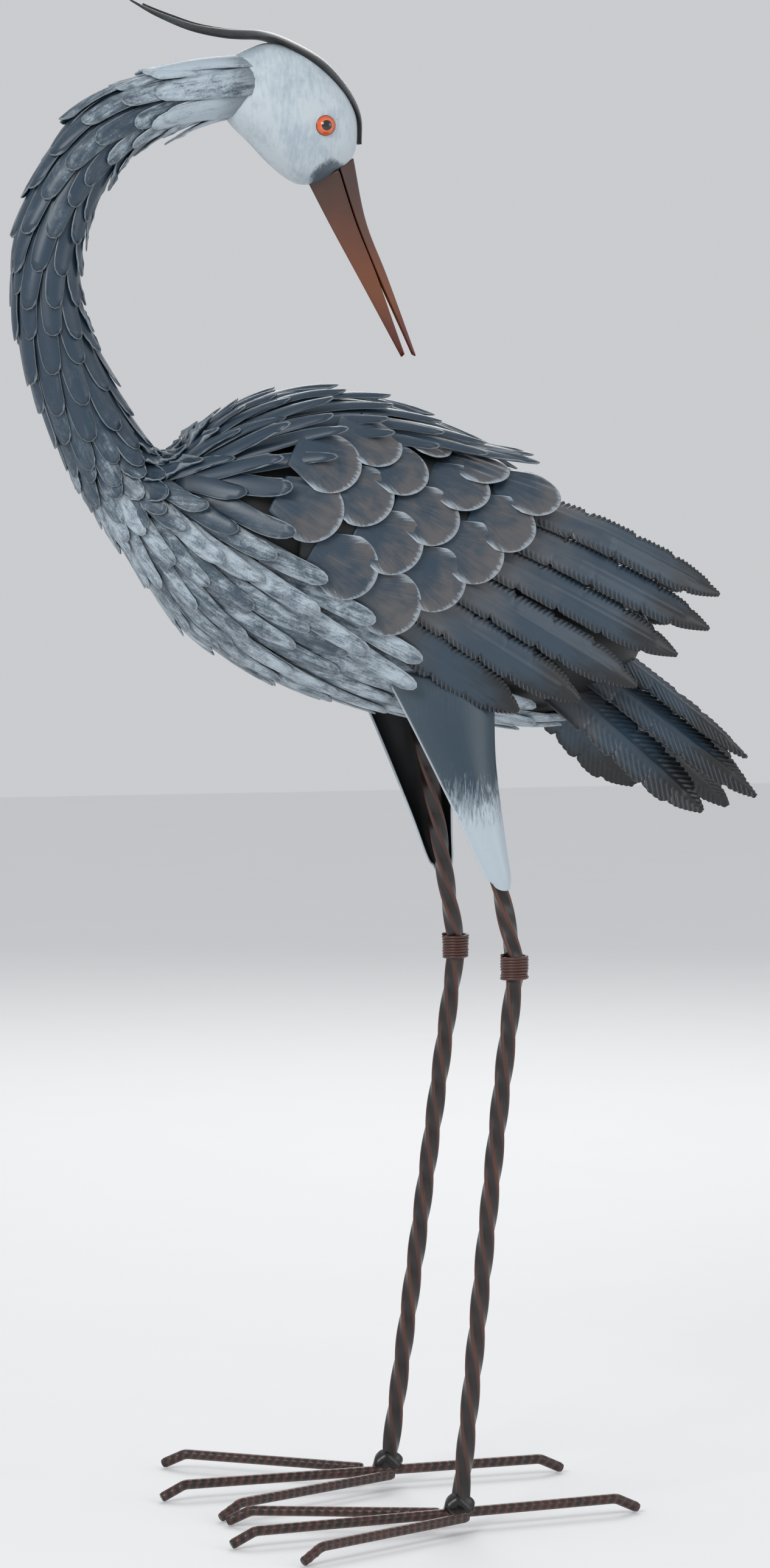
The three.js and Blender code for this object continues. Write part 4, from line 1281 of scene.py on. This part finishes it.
@dataclass
class Wing:
    """A panel of rounded scales and six long stamped feathers."""

    side: Side
    sheet: Sheet
    scale_paint: bpy.types.Material
    blade_paint: bpy.types.Material
    inside: bpy.types.Material
    radius: float = 20.5

    def scale_places(self) -> list[tuple[float, float]]:
        """Lists the scales' centres on the wing's chart: five slanting rows and an arc at the shoulder."""
        counts = (2, 3, 3, 3, 2)
        places = []
        for row, count in enumerate(counts):
            rise = 0 if row == len(counts) - 1 else 1
            for k in range(count):
                a = -2 + 18.3 * row - 1.25 * row * row - 36.5 * k + 3 * k * k
                places.append((a, -37 + 25.5 * row + rise * (2.2 * k + 4.9 * k * k)))
        for degrees in (204, 163, 120):
            turn = math.radians(degrees)
            places.append((-30 + 43 * math.cos(turn), 8 + 43 * math.sin(turn)))
        return places

    def build(self) -> None:
        """Builds scales, the panel under them and the long feathers."""
        self.scales()
        self.panel()
        self.blades()

    def scales(self) -> None:
        """Cuts the scales: each is sunk at its front and stands off at its round rear edge."""
        rng = np.random.default_rng(11 + self.side.value)
        leaves = Leaf()
        r = self.radius
        for a, c in self.scale_places():
            along, up, out = WING.axes(self.side, np.array(a), np.array(c))
            middle = WING.point(self.side, a, c, 0.0)
            tilt_along = 0.115
            tilt_up = -0.06
            direction = unit(along + out * tilt_along)
            upward = unit(up + out * tilt_up)
            normal = unit(np.cross(direction, upward))
            normal *= np.sign(normal @ out)
            across = np.cross(direction, normal)
            fluted = 0.55 if (c > 50 or (a < -60 and c < 0)) else 0.16
            leaves.add(start=middle - direction * r * 1.05, along=direction, across=across, out=normal,
                       long=2.05 * r, half=r * 0.98, dish=1.6, bow=0.9, waist=0.42, tip=r, lift=0.4, band=-1.0,
                       taper=0.0, flute=fluted, pale=0.5, seed=float(rng.uniform(0, 50)))
        piece = self.sheet.cut(f"{self.side.word}_wing_scales", leaves, self.scale_paint, 31, 31, 0.9)
        dress(piece, "covert_paint", [f"{self.side.word}_wing_coverts"], self.scale_paint)

    def panel(self) -> None:
        """Makes the dark panel under the scales."""
        rows, columns = 24, 24
        c = np.linspace(-46, 66, rows)[:, None]
        front = -56 - 18 * np.sin(math.pi * (c + 48) / 116)
        rear = -4 + 0.5 * (c + 37)
        a = front + (rear - front) * np.linspace(0, 1, columns)[None]
        points = WING.point(self.side, a, c, -3.4).reshape(-1, 3)
        faces = grid_faces(rows, columns)
        if self.side is Side.LEFT:
            faces = [tuple(reversed(face)) for face in faces]
        piece = mesh_object(f"{self.side.word}_wing_panel", points, faces)
        solidify(piece, 1.0)
        dress(piece, "covert_paint", [], self.inside)

    def blades(self) -> None:
        """Makes the six stamped flight feathers, the first on top."""
        tips = ((192, 70), (194, 47), (181, 22), (166, -8), (137, -33), (106, -57))
        for i, (tip_a, tip_c) in enumerate(tips):
            root_c = 64 - 113 * i / 5
            root_a = -1 + 0.5 * (root_c + 37) - 6
            stamp = StampedFeather(long=math.hypot(tip_a - root_a, tip_c - root_c), half=12.6, barbs=Barbs.ROPE,
                                   seed=i + 3 * (self.side is Side.RIGHT))

            def place(t: np.ndarray, y: np.ndarray, lift: np.ndarray) -> np.ndarray:
                """Puts a feather's place on the wing."""
                a = root_a + (tip_a - root_a) * t
                c = root_c + (tip_c - root_c) * t + y
                shingle = -1.8 * y / 12.5 - (7.8 - 5.2 * np.minimum(1, 2.5 * t))
                return WING.point(self.side, a, c, shingle + lift)

            name = f"{self.side.word}_flight_feather_{i + 1}"
            piece = stamp.make(name + "_blade", place, flip=self.side is Side.LEFT)
            dress(piece, "flight_paint", [name], self.blade_paint)


class Barbs(Enum):
    """How a feather's barbs are stamped: as a rope along the edges, or as long slanting ribs."""

    ROPE = "rope"
    RIBS = "ribs"


@dataclass
class StampedFeather:
    """A long feather stamped from sheet: a vein, corrugated edges with notches and a pointed tip."""

    long: float
    half: float
    barbs: Barbs
    seed: int = 0
    rows: int = 210
    columns: int = 27
    thickness: float = 0.9

    def make(self, name: str, place: Callable[[np.ndarray, np.ndarray, np.ndarray], np.ndarray],
             flip: bool) -> bpy.types.Object:
        """Makes the feather.

        Args:
            name: the piece's name.
            place: gives points from the share along, millimetres across and millimetres of lift.
            flip: whether the grid's faces are turned over.
        Returns:
            The piece.
        """
        rng = np.random.default_rng(60 + self.seed)
        t = np.linspace(0, 1, self.rows)[:, None]
        spread = np.linspace(-1, 1, self.columns)[None]
        v = np.sign(spread) * np.abs(spread) ** 0.85
        s = t * self.long
        taper = np.sqrt(np.clip(1 - ramp(t, 0.66, 1.02) ** 1.6, 0, 1)) * (0.72 + 0.28 * ramp(t, 0, 0.14))
        edges = np.ones((self.rows, 2))
        for column in (0, 1):
            for notch in np.linspace(0.30, 0.86, 4) + rng.normal(0, 0.02, 4) + 0.05 * column:
                before = np.clip((notch - t[:, 0]) * self.long, 0, 99)
                after = np.clip((t[:, 0] - notch) * self.long, 0, 99)
                depth = 0.24 * (1 - notch * 0.3)
                cut = np.where(after > 0, np.exp(-after / 2.6), np.exp(-before / 0.9))
                edges[:, column] -= depth * cut
                edges[:, column] += 0.05 * np.exp(-(before / 9) ** 2) * (after <= 0)
        side_edge = np.where(v < 0, edges[:, :1], edges[:, 1:])
        y = v * self.half * taper * side_edge
        wave = 2 * math.pi * (s - np.abs(y) * 0.75) / 3.3
        if self.barbs is Barbs.ROPE:
            strength = ramp(np.abs(v), 0.60, 0.78) * ramp(t, 0.02, 0.1)
            lift = 0.62 * np.sin(wave) * strength
            ridge = (0.5 + 0.5 * np.sin(wave)) * strength
        else:
            wave = 2 * math.pi * (s - np.abs(y) * 1.1) / 4.6
            strength = ramp(np.abs(v), 0.16, 0.34) * ramp(t, 0.16, 0.4)
            lift = 0.5 * np.sin(wave) * strength
            ridge = (0.5 + 0.5 * np.sin(wave)) * strength
        vein_end = 1 - ramp(t, 0.86, 0.90)
        vein = np.exp(-(y / 1.5) ** 2) * vein_end
        groove = np.exp(-(y / 0.5) ** 2) * vein_end
        lift = lift + 1.25 * vein - 0.5 * groove - 1.0 * v ** 2 + 0.5 * np.cos(3 * v) * taper
        ridge = np.maximum(ridge * 0.9, np.clip(vein - groove * 0.7, 0, 1))
        points = place(t + 0 * v, y, lift).reshape(-1, 3)
        rim = np.minimum((1 - np.abs(v)) * self.half * taper, (1 - t) * self.long + 0 * v)
        grain = np.stack([s + 0 * v, y, np.full_like(y, self.seed * 13.0)], -1).reshape(-1, 3)
        leaf = np.stack([t + 0 * v, v + 0 * t, 0 * y], -1).reshape(-1, 3)
        faces = grid_faces(self.rows, self.columns)
        if flip:
            faces = [tuple(reversed(face)) for face in faces]
        attributes = {"rim": rim.reshape(-1), "grain": grain, "leaf": leaf, "ridge": ridge.reshape(-1)}
        piece = mesh_object(name, points, faces, attributes)
        solidify(piece, self.thickness)
        return piece


@dataclass
class Tail:
    """Three stamped feathers a side in a roof-shaped fan."""

    paint: bpy.types.Material
    feathers: tuple[tuple, ...] = (
        ((112, 10, 548), (222, 40, 464), 13, 34),
        ((104, 17, 532), (222, 56, 441), 15, 46),
        ((92, 24, 516), (186, 60, 432), 16, 58),
    )
    right_reach: tuple[float, ...] = (30, 24, -14)

    def build(self) -> None:
        """Builds all six feathers."""
        for side in Side:
            for i, (root, tip, half, turn) in enumerate(self.feathers):
                reach = self.right_reach[i] if side is Side.RIGHT else 0
                self.feather(side, i, root, tip, half, turn, reach)

    def feather(self, side: Side, i: int, root: Sequence[float], tip: Sequence[float], half: float, turn: float,
                reach: float) -> None:
        """Builds one feather, its root, tip, half width and turn about its length given."""
        mirror = vec(1, side.value, 1)
        start, end = np.array(root) * mirror, np.array(tip) * mirror
        along = unit(end - start)
        end = end + along * reach
        angle = math.radians(turn)
        across = vec(0, -side.value * math.cos(angle), math.sin(angle))
        across = unit(across - along * (across @ along))
        out = unit(np.cross(along, across) * -side.value)

        def place(t: np.ndarray, y: np.ndarray, lift: np.ndarray) -> np.ndarray:
            """Puts a feather's place in the tail."""
            base = start + (end - start) * t[..., None]
            return base + across * y[..., None] + out * (lift - 5 * t * t)[..., None]

        stamp = StampedFeather(long=float(np.linalg.norm(end - start)), half=half * 1.05, barbs=Barbs.RIBS,
                               seed=20 + i + 3 * (side is Side.RIGHT), rows=170, columns=31)
        name = f"{side.word}_tail_feather_{i + 1}"
        piece = stamp.make(name + "_blade", place, flip=side is Side.LEFT)
        dress(piece, "tail_paint", [name], self.paint)


# Legs and feet

def bar_tree() -> bpy.types.GeometryNodeTree:
    """Builds the node tree that sweeps a twisted square bar along a path.

    Returns:
        The tree, with inputs for the bar's sizes, its twist and the material.
    """
    tree = bpy.data.node_groups.new("twisted_bar", "GeometryNodeTree")
    interface = tree.interface
    interface.new_socket("Path", in_out="INPUT", socket_type="NodeSocketGeometry")
    for name in ("Width", "Corner radius", "Quarter turn", "Start turn", "Step"):
        interface.new_socket(name, in_out="INPUT", socket_type="NodeSocketFloat")
    interface.new_socket("Paint", in_out="INPUT", socket_type="NodeSocketMaterial")
    interface.new_socket("Bar", in_out="OUTPUT", socket_type="NodeSocketGeometry")
    g = Nodes(tree)
    entry = tree.nodes.new("NodeGroupInput")
    given = {socket.name: Signal(g, socket) for socket in entry.outputs if socket.name}
    path = g.add("GeometryNodeMeshToCurve", {}, {"Mesh": given["Path"]}, "Curve")
    path = g.add("GeometryNodeResampleCurve", {"mode": "LENGTH"}, {"Curve": path, "Length": given["Step"]}, "Curve")
    travelled = g.add("GeometryNodeSplineParameter", {}, {}, "Length")
    tilt = given["Start turn"] - travelled / given["Quarter turn"] * (math.pi / 2)
    path = g.add("GeometryNodeSetCurveTilt", {}, {"Curve": path, "Tilt": tilt}, "Curve")
    sizes = {"Width": given["Width"], "Height": given["Width"]}
    profile = g.add("GeometryNodeCurvePrimitiveQuadrilateral", {"mode": "RECTANGLE"}, sizes, "Curve")
    fillet = {"Curve": profile, "Radius": given["Corner radius"], "Count": 5}
    profile = g.add("GeometryNodeFilletCurve", {"mode": "POLY"}, fillet, "Curve")
    profile = g.add("GeometryNodeResampleCurve", {"mode": "COUNT"}, {"Curve": profile, "Count": 48}, "Curve")
    position = g.add("GeometryNodeInputPosition", {}, {})
    reach = g.vector("LENGTH", position, output="Value") / given["Width"]
    ridge = reach.ramp(0.50, 0.66)
    inward = g.vector("SCALE", position, scale=1 - 0.05 * (1 - ridge))
    profile = g.add("GeometryNodeSetPosition", {}, {"Geometry": profile, "Position": inward}, "Geometry")
    inputs = {"Geometry": profile, "Name": "ridge", "Value": ridge}
    profile = g.add("GeometryNodeStoreNamedAttribute", {"data_type": "FLOAT", "domain": "POINT"}, inputs, "Geometry")
    inputs = {"Curve": path, "Profile Curve": profile, "Fill Caps": True}
    mesh = g.add("GeometryNodeCurveToMesh", {}, inputs, "Mesh")
    mesh = g.add("GeometryNodeRealizeInstances", {}, {"Geometry": mesh}, "Geometry")
    mesh = g.add("GeometryNodeSetMaterial", {}, {"Geometry": mesh, "Material": given["Paint"]}, "Geometry")
    leave = tree.nodes.new("NodeGroupOutput")
    tree.links.new(mesh.socket, leave.inputs["Bar"])
    return tree


@dataclass
class Leg:
    """A twisted rod with its thigh, knee wire, weld and toes."""

    side: Side
    rod_tree: bpy.types.GeometryNodeTree
    rod_paint: bpy.types.Material
    wire_paint: bpy.types.Material
    toe_paint: bpy.types.Material
    weld_paint: bpy.types.Material
    thigh_paint: bpy.types.Material
    inside: bpy.types.Material
    width: float = 9.4
    corner: float = 2.3
    quarter_turn: float = 29.4

    @property
    def axis(self) -> tuple[tuple[float, float, float], ...]:
        """The rod's axis from inside the thigh to the foot."""
        if self.side is Side.LEFT:
            return ((31, -49.5, 500), (42, -54, 450), (55, -60, 388), (63, -69, 338), (48, -73, 220), (26, -77, 13.6))
        return ((30, 49.5, 500), (43, 54, 445), (54, 60, 388), (65, 69, 338), (49, 70, 220), (21, 70, 13.6))

    @property
    def toes(self) -> dict[str, tuple[tuple[float, float], ...]]:
        """The toes' bends and ends on the ground plane, tips last; the long bar has a tip at each end."""
        if self.side is Side.LEFT:
            return {"middle_and_back": ((145, -55), (130, -59), (-106, -99), (-121, -101)),
                    "inner": ((14, -74), (-94, -38), (-107, -32)), "outer": ((26, -92), (-79, -153), (-92, -160))}
        return {"middle_and_back": ((137, 80), (122, 77), (-114, 52), (-129, 50)),
                "inner": ((18, 50), (-94, -13), (-108, -20)), "outer": ((6, 78), (-91, 151), (-103, 160))}

    def build(self) -> None:
        """Builds every piece of the leg."""
        self.rod()
        self.knee_wire()
        self.weld()
        for name, points in self.toes.items():
            self.toe(name, points)
        self.thigh()

    def rod(self) -> None:
        """Sweeps the twisted bar."""
        upper = smooth(self.axis[:4], np.linspace(0, 3, 24))
        lower = smooth(self.axis[3:], np.linspace(0, 2, 24))
        points = np.vstack([upper, lower[1:]])
        path = mesh_object("rod_path", points, [])
        path.data.clear_geometry()
        path.data.from_pydata(((points + SHIFT) * MM).tolist(), [(i, i + 1) for i in range(len(points) - 1)], [])
        values = {"Width": self.width * MM, "Corner radius": self.corner * MM, "Quarter turn": self.quarter_turn * MM,
                  "Start turn": 0.0, "Step": 1.5 * MM, "Paint": self.rod_paint}
        piece = run_tree(path, self.rod_tree, values, f"{self.side.word}_twisted_rod")
        piece.data.shade_smooth()
        dress(piece, "leg_paint", [f"{self.side.word}_leg"], self.rod_paint)

    def knee_wire(self) -> None:
        """Winds the binding wire."""
        turns, wire, radius = 8.4, 0.98, 7.45
        x, y, z = self.axis[3]
        t = np.linspace(0, 1, 300)
        angle = t * turns * 2 * math.pi + 0.6
        rng = np.random.default_rng(7 + self.side.value)
        wobble = np.interp(t * turns, np.arange(10), rng.normal(0, 0.16, 10))
        path = np.stack([x - 1 + (radius + wobble) * np.cos(angle), y + (radius + wobble) * np.sin(angle),
                         z - 7.3 + 14.6 * t + 0.5 * wobble], -1)
        points, faces = sweep(path, np.full(300, wire), 10)
        ridge = np.full(len(points), 0.55)
        piece = mesh_object(f"{self.side.word}_knee_coil", points, faces, {"ridge": ridge})
        dress(piece, "wire_paint", [f"{self.side.word}_knee_wire"], self.wire_paint)

    def weld(self) -> None:
        """Makes the lumpy weld where the rod meets the toes."""
        x, y, z = self.axis[-1]
        rows, columns = 26, 32
        polar = np.linspace(0.02, math.pi - 0.02, rows)[:, None]
        turn = np.linspace(0, 2 * math.pi, columns, endpoint=False)[None]
        lump = 1 + 0.10 * np.sin(3 * turn + 2 * polar) + 0.07 * np.sin(5 * turn - 4 * polar + 1)
        flare = np.where(polar < math.pi / 2, 1.25, 0.85)
        points = np.stack([x - 1 + 9.2 * lump * np.sin(polar) * np.cos(turn), y + 7.4 * lump * np.sin(polar)
                           * np.sin(turn), z + 7.2 * flare * np.cos(polar) + 0 * turn], -1)
        faces = [tuple(reversed(face)) for face in grid_faces(rows, columns, True)]
        points = points.reshape(-1, 3)
        top, bottom = points[:columns].mean(0), points[-columns:].mean(0)
        count = rows * columns
        faces += [(count, j, (j + 1) % columns) for j in range(columns)]
        start = count - columns
        faces += [(count + 1, start + (j + 1) % columns, start + j) for j in range(columns)]
        piece = mesh_object(f"{self.side.word}_foot_weld", np.vstack([points, [top, bottom]]), faces)
        dress(piece, "leg_paint", [], self.weld_paint)

    def toe(self, name: str, flat: tuple[tuple[float, float], ...]) -> None:
        """Makes one ribbed bar with its tips bent down to the ground."""
        tip_at = {len(flat) - 1} | ({0} if name == "middle_and_back" else set())
        corners = np.array([[x, y, 2.95 if i in tip_at else 10.0] for i, (x, y) in enumerate(flat)])
        spans = np.linalg.norm(np.diff(corners, axis=0), axis=1)
        reach = np.concatenate([[0], np.cumsum(spans)])
        count = int(reach[-1] / 0.55)
        way = np.linspace(0, reach[-1], count)
        path = np.stack([np.interp(way, reach, corners[:, k]) for k in range(3)], -1)
        kernel = np.ones(9) / 9
        padded = np.pad(path, ((4, 4), (0, 0)), "reflect", reflect_type="odd")
        path = np.stack([np.convolve(padded[:, k], kernel, "valid") for k in range(3)], -1)
        sides = 20
        points, faces = sweep(path, np.full(count, 2.7), sides)
        turn = np.arange(sides) * 2 * math.pi / sides
        phase = 2 * math.pi * way[:, None] / 5.7 + 1.6 * np.sin(turn)[None] * 1.1
        ribs = np.clip(np.sin(phase), 0, 1) ** 1.5 * (0.35 + 0.65 * np.abs(np.cos(turn))[None])
        seam = np.exp(-((np.abs(np.sin(turn)) - 1) / 0.06) ** 2)[None]
        height = np.maximum(ribs, 0.8 * seam) * 0.55
        rings = points[:count * sides].reshape(count, sides, 3)
        out = unit(rings - path[:, None])
        inside = (way > 1.0) & (way < reach[-1] - 1.0)
        rings = rings + out * (height * inside[:, None])[..., None]
        ridge = np.concatenate([(height / 0.55 * inside[:, None]).reshape(-1), [0, 0]])
        points = np.vstack([rings.reshape(-1, 3), points[count * sides:]])
        points[:, 2] = np.maximum(points[:, 2], 0.02)
        piece = mesh_object(f"{self.side.word}_{name}_bar", points, faces, {"ridge": 0.15 + 0.85 * ridge})
        dress(piece, "toe_paint", [f"{self.side.word}_{name}_toe"], self.toe_paint)

    def thigh(self) -> None:
        """Makes the half cone of sheet that is open towards the midline."""
        stations = ((-14, 518, 57, 506, 42, 15), (6, 478, 56, 462, 48, 14.5), (31, 424, 59, 416, 58, 11.5),
                    (43, 396, 61, 393, 63.5, 8), (49.5, 385, 60, 384, 66.8, 3.8))
        rows, columns = 60, 33
        s = np.linspace(0, len(stations) - 1, rows)
        line = smooth(stations, s)
        angle = np.linspace(0, math.pi, columns)[None]
        across = (1 - np.cos(angle)) / 2
        x = line[:, :1] + (line[:, 2:3] - line[:, :1]) * across
        z = line[:, 1:2] + (line[:, 3:4] - line[:, 1:2]) * across
        y = self.side.value * (line[:, 4:5] + line[:, 5:6] * np.sin(angle))
        z = z - 3.0 * ramp(s, 3.2, 4)[:, None] * (np.sin(angle) - 1)
        points = np.stack([x, y + 0 * x, z], -1).reshape(-1, 3)
        width = (line[:, 2:3] - line[:, :1]) * np.minimum(across, 1 - across)
        rim = np.minimum(width, (len(stations) - 1 - s)[:, None] * 12 + 0 * width)
        faces = grid_faces(rows, columns)
        if self.side is Side.LEFT:
            faces = [tuple(reversed(face)) for face in faces]
        piece = mesh_object(f"{self.side.word}_thigh_sheet", points, faces, {"rim": rim.reshape(-1)})
        solidify(piece, 1.2, inner=1)
        dress(piece, "thigh_paint", [f"{self.side.word}_thigh"], self.thigh_paint, self.inside)


# Stage

@dataclass
class Stage:
    """Floor, soft lights and the camera at the photograph's viewing angle."""

    azimuth: float = -15.0
    elevation: float = 4.0
    distance: float = 3500.0
    focal_px: float = 9450.0
    image: tuple[int, int] = (1265, 2576)
    target: tuple[float, float, float] = (0, 0, 445)

    def build(self) -> None:
        """Builds the stage."""
        bpy.context.scene.view_settings.view_transform = "Standard"
        self.floor()
        self.lights()
        self.camera()

    def floor(self) -> None:
        """Lays a plain pale floor."""
        size = 6000.0
        points = np.array([[-size, -size, 0], [size, -size, 0], [size, size, 0], [-size, size, 0]], float)
        piece = mesh_object("floor", points - SHIFT * vec(1, 1, 0), [(0, 1, 2, 3)])
        s = Surface("floor_paint")
        shade = s.noise(s.object_mm, 0.01, 2)
        piece.data.materials.append(s.finish(s.mix(shade, (0.90, 0.90, 0.90), (0.88, 0.88, 0.885)), 0.7))

    def lights(self) -> None:
        """Sets soft boxes round the bird and a pale surrounding."""
        world = bpy.data.worlds.new("studio")
        world.use_nodes = True
        world.node_tree.nodes["Background"].inputs["Color"].default_value = (0.95, 0.97, 1.0, 1)
        world.node_tree.nodes["Background"].inputs["Strength"].default_value = 0.62
        bpy.context.scene.world = world
        self.soft_box("key", (-1900, -1900, 2100), 1300, 34)
        self.soft_box("fill", (2300, -1500, 1200), 1500, 10)
        self.soft_box("rim", (700, 2300, 1900), 1300, 20)

    @staticmethod
    def soft_box(name: str, place: tuple[float, float, float], size: float, power: float) -> None:
        """Sets one area light that looks at the body."""
        light = bpy.data.lights.new(name, "AREA")
        light.shape = "SQUARE"
        light.size = size * MM
        light.energy = power
        lamp = bpy.data.objects.new(name, light)
        lamp.location = Vector(place) * MM
        lamp.rotation_euler = (Vector((0, 0, 0.5)) - lamp.location).to_track_quat("-Z", "Y").to_euler()
        bpy.context.scene.collection.objects.link(lamp)

    def camera(self) -> None:
        """Places the camera."""
        az, el = math.radians(self.azimuth), math.radians(self.elevation)
        away = vec(math.sin(az) * math.cos(el), -math.cos(az) * math.cos(el), math.sin(el))
        target = np.array(self.target) + SHIFT
        eye = target + away * self.distance
        lens = bpy.data.cameras.new("camera")
        lens.sensor_fit = "AUTO"
        lens.sensor_width = 36
        lens.lens = self.focal_px / max(self.image) * lens.sensor_width
        lens.clip_end = 50
        camera = bpy.data.objects.new("camera", lens)
        camera.location = Vector(eye) * MM
        camera.rotation_euler = (Vector(target - eye)).to_track_quat("-Z", "Y").to_euler()
        bpy.context.scene.collection.objects.link(camera)
        bpy.context.scene.camera = camera


def main() -> None:
    """Builds the heron piece by piece."""
    sheet = Sheet()
    hollow = PlainPaint("dark_inside", colour("0b0d0f"), colour("1b2126"), 0.3, 0.5).build()
    feather_paint = FeatherPaint("feather_paint").build()
    Neck(sheet, feather_paint, hollow).build()
    Body(sheet, feather_paint, hollow).build()
    cap = PlainPaint("cap_paint", colour("14171a"), colour("5d6b77"), 0.35, 0.3).build()
    Head(HeadPaint().build(), cap, BeakPaint().build(), EyePaint().build()).build()
    scale_paint = ScalePaint().build()
    blade_paint = StampedPaint("flight_paint").build()
    for side in Side:
        Wing(side, sheet, scale_paint, blade_paint, hollow).build()
    Tail(StampedPaint("tail_paint", tip_start=0.5).build()).build()
    rod = RodPaint("rod_paint", dark_foot=14).build()
    wire = RodPaint("wire_paint", rust=colour("6b3a28")).build()
    toe = RodPaint("toe_paint", rust=colour("5a3022")).build()
    weld = PlainPaint("weld_paint", colour("0e0c0b"), colour("35241d"), 0.4, 0.2).build()
    thigh = ThighPaint().build()
    bars = bar_tree()
    for side in Side:
        Leg(side, bars, rod, wire, toe, weld, thigh, hollow).build()
    Stage().build()


if __name__ == "__main__":
    main()
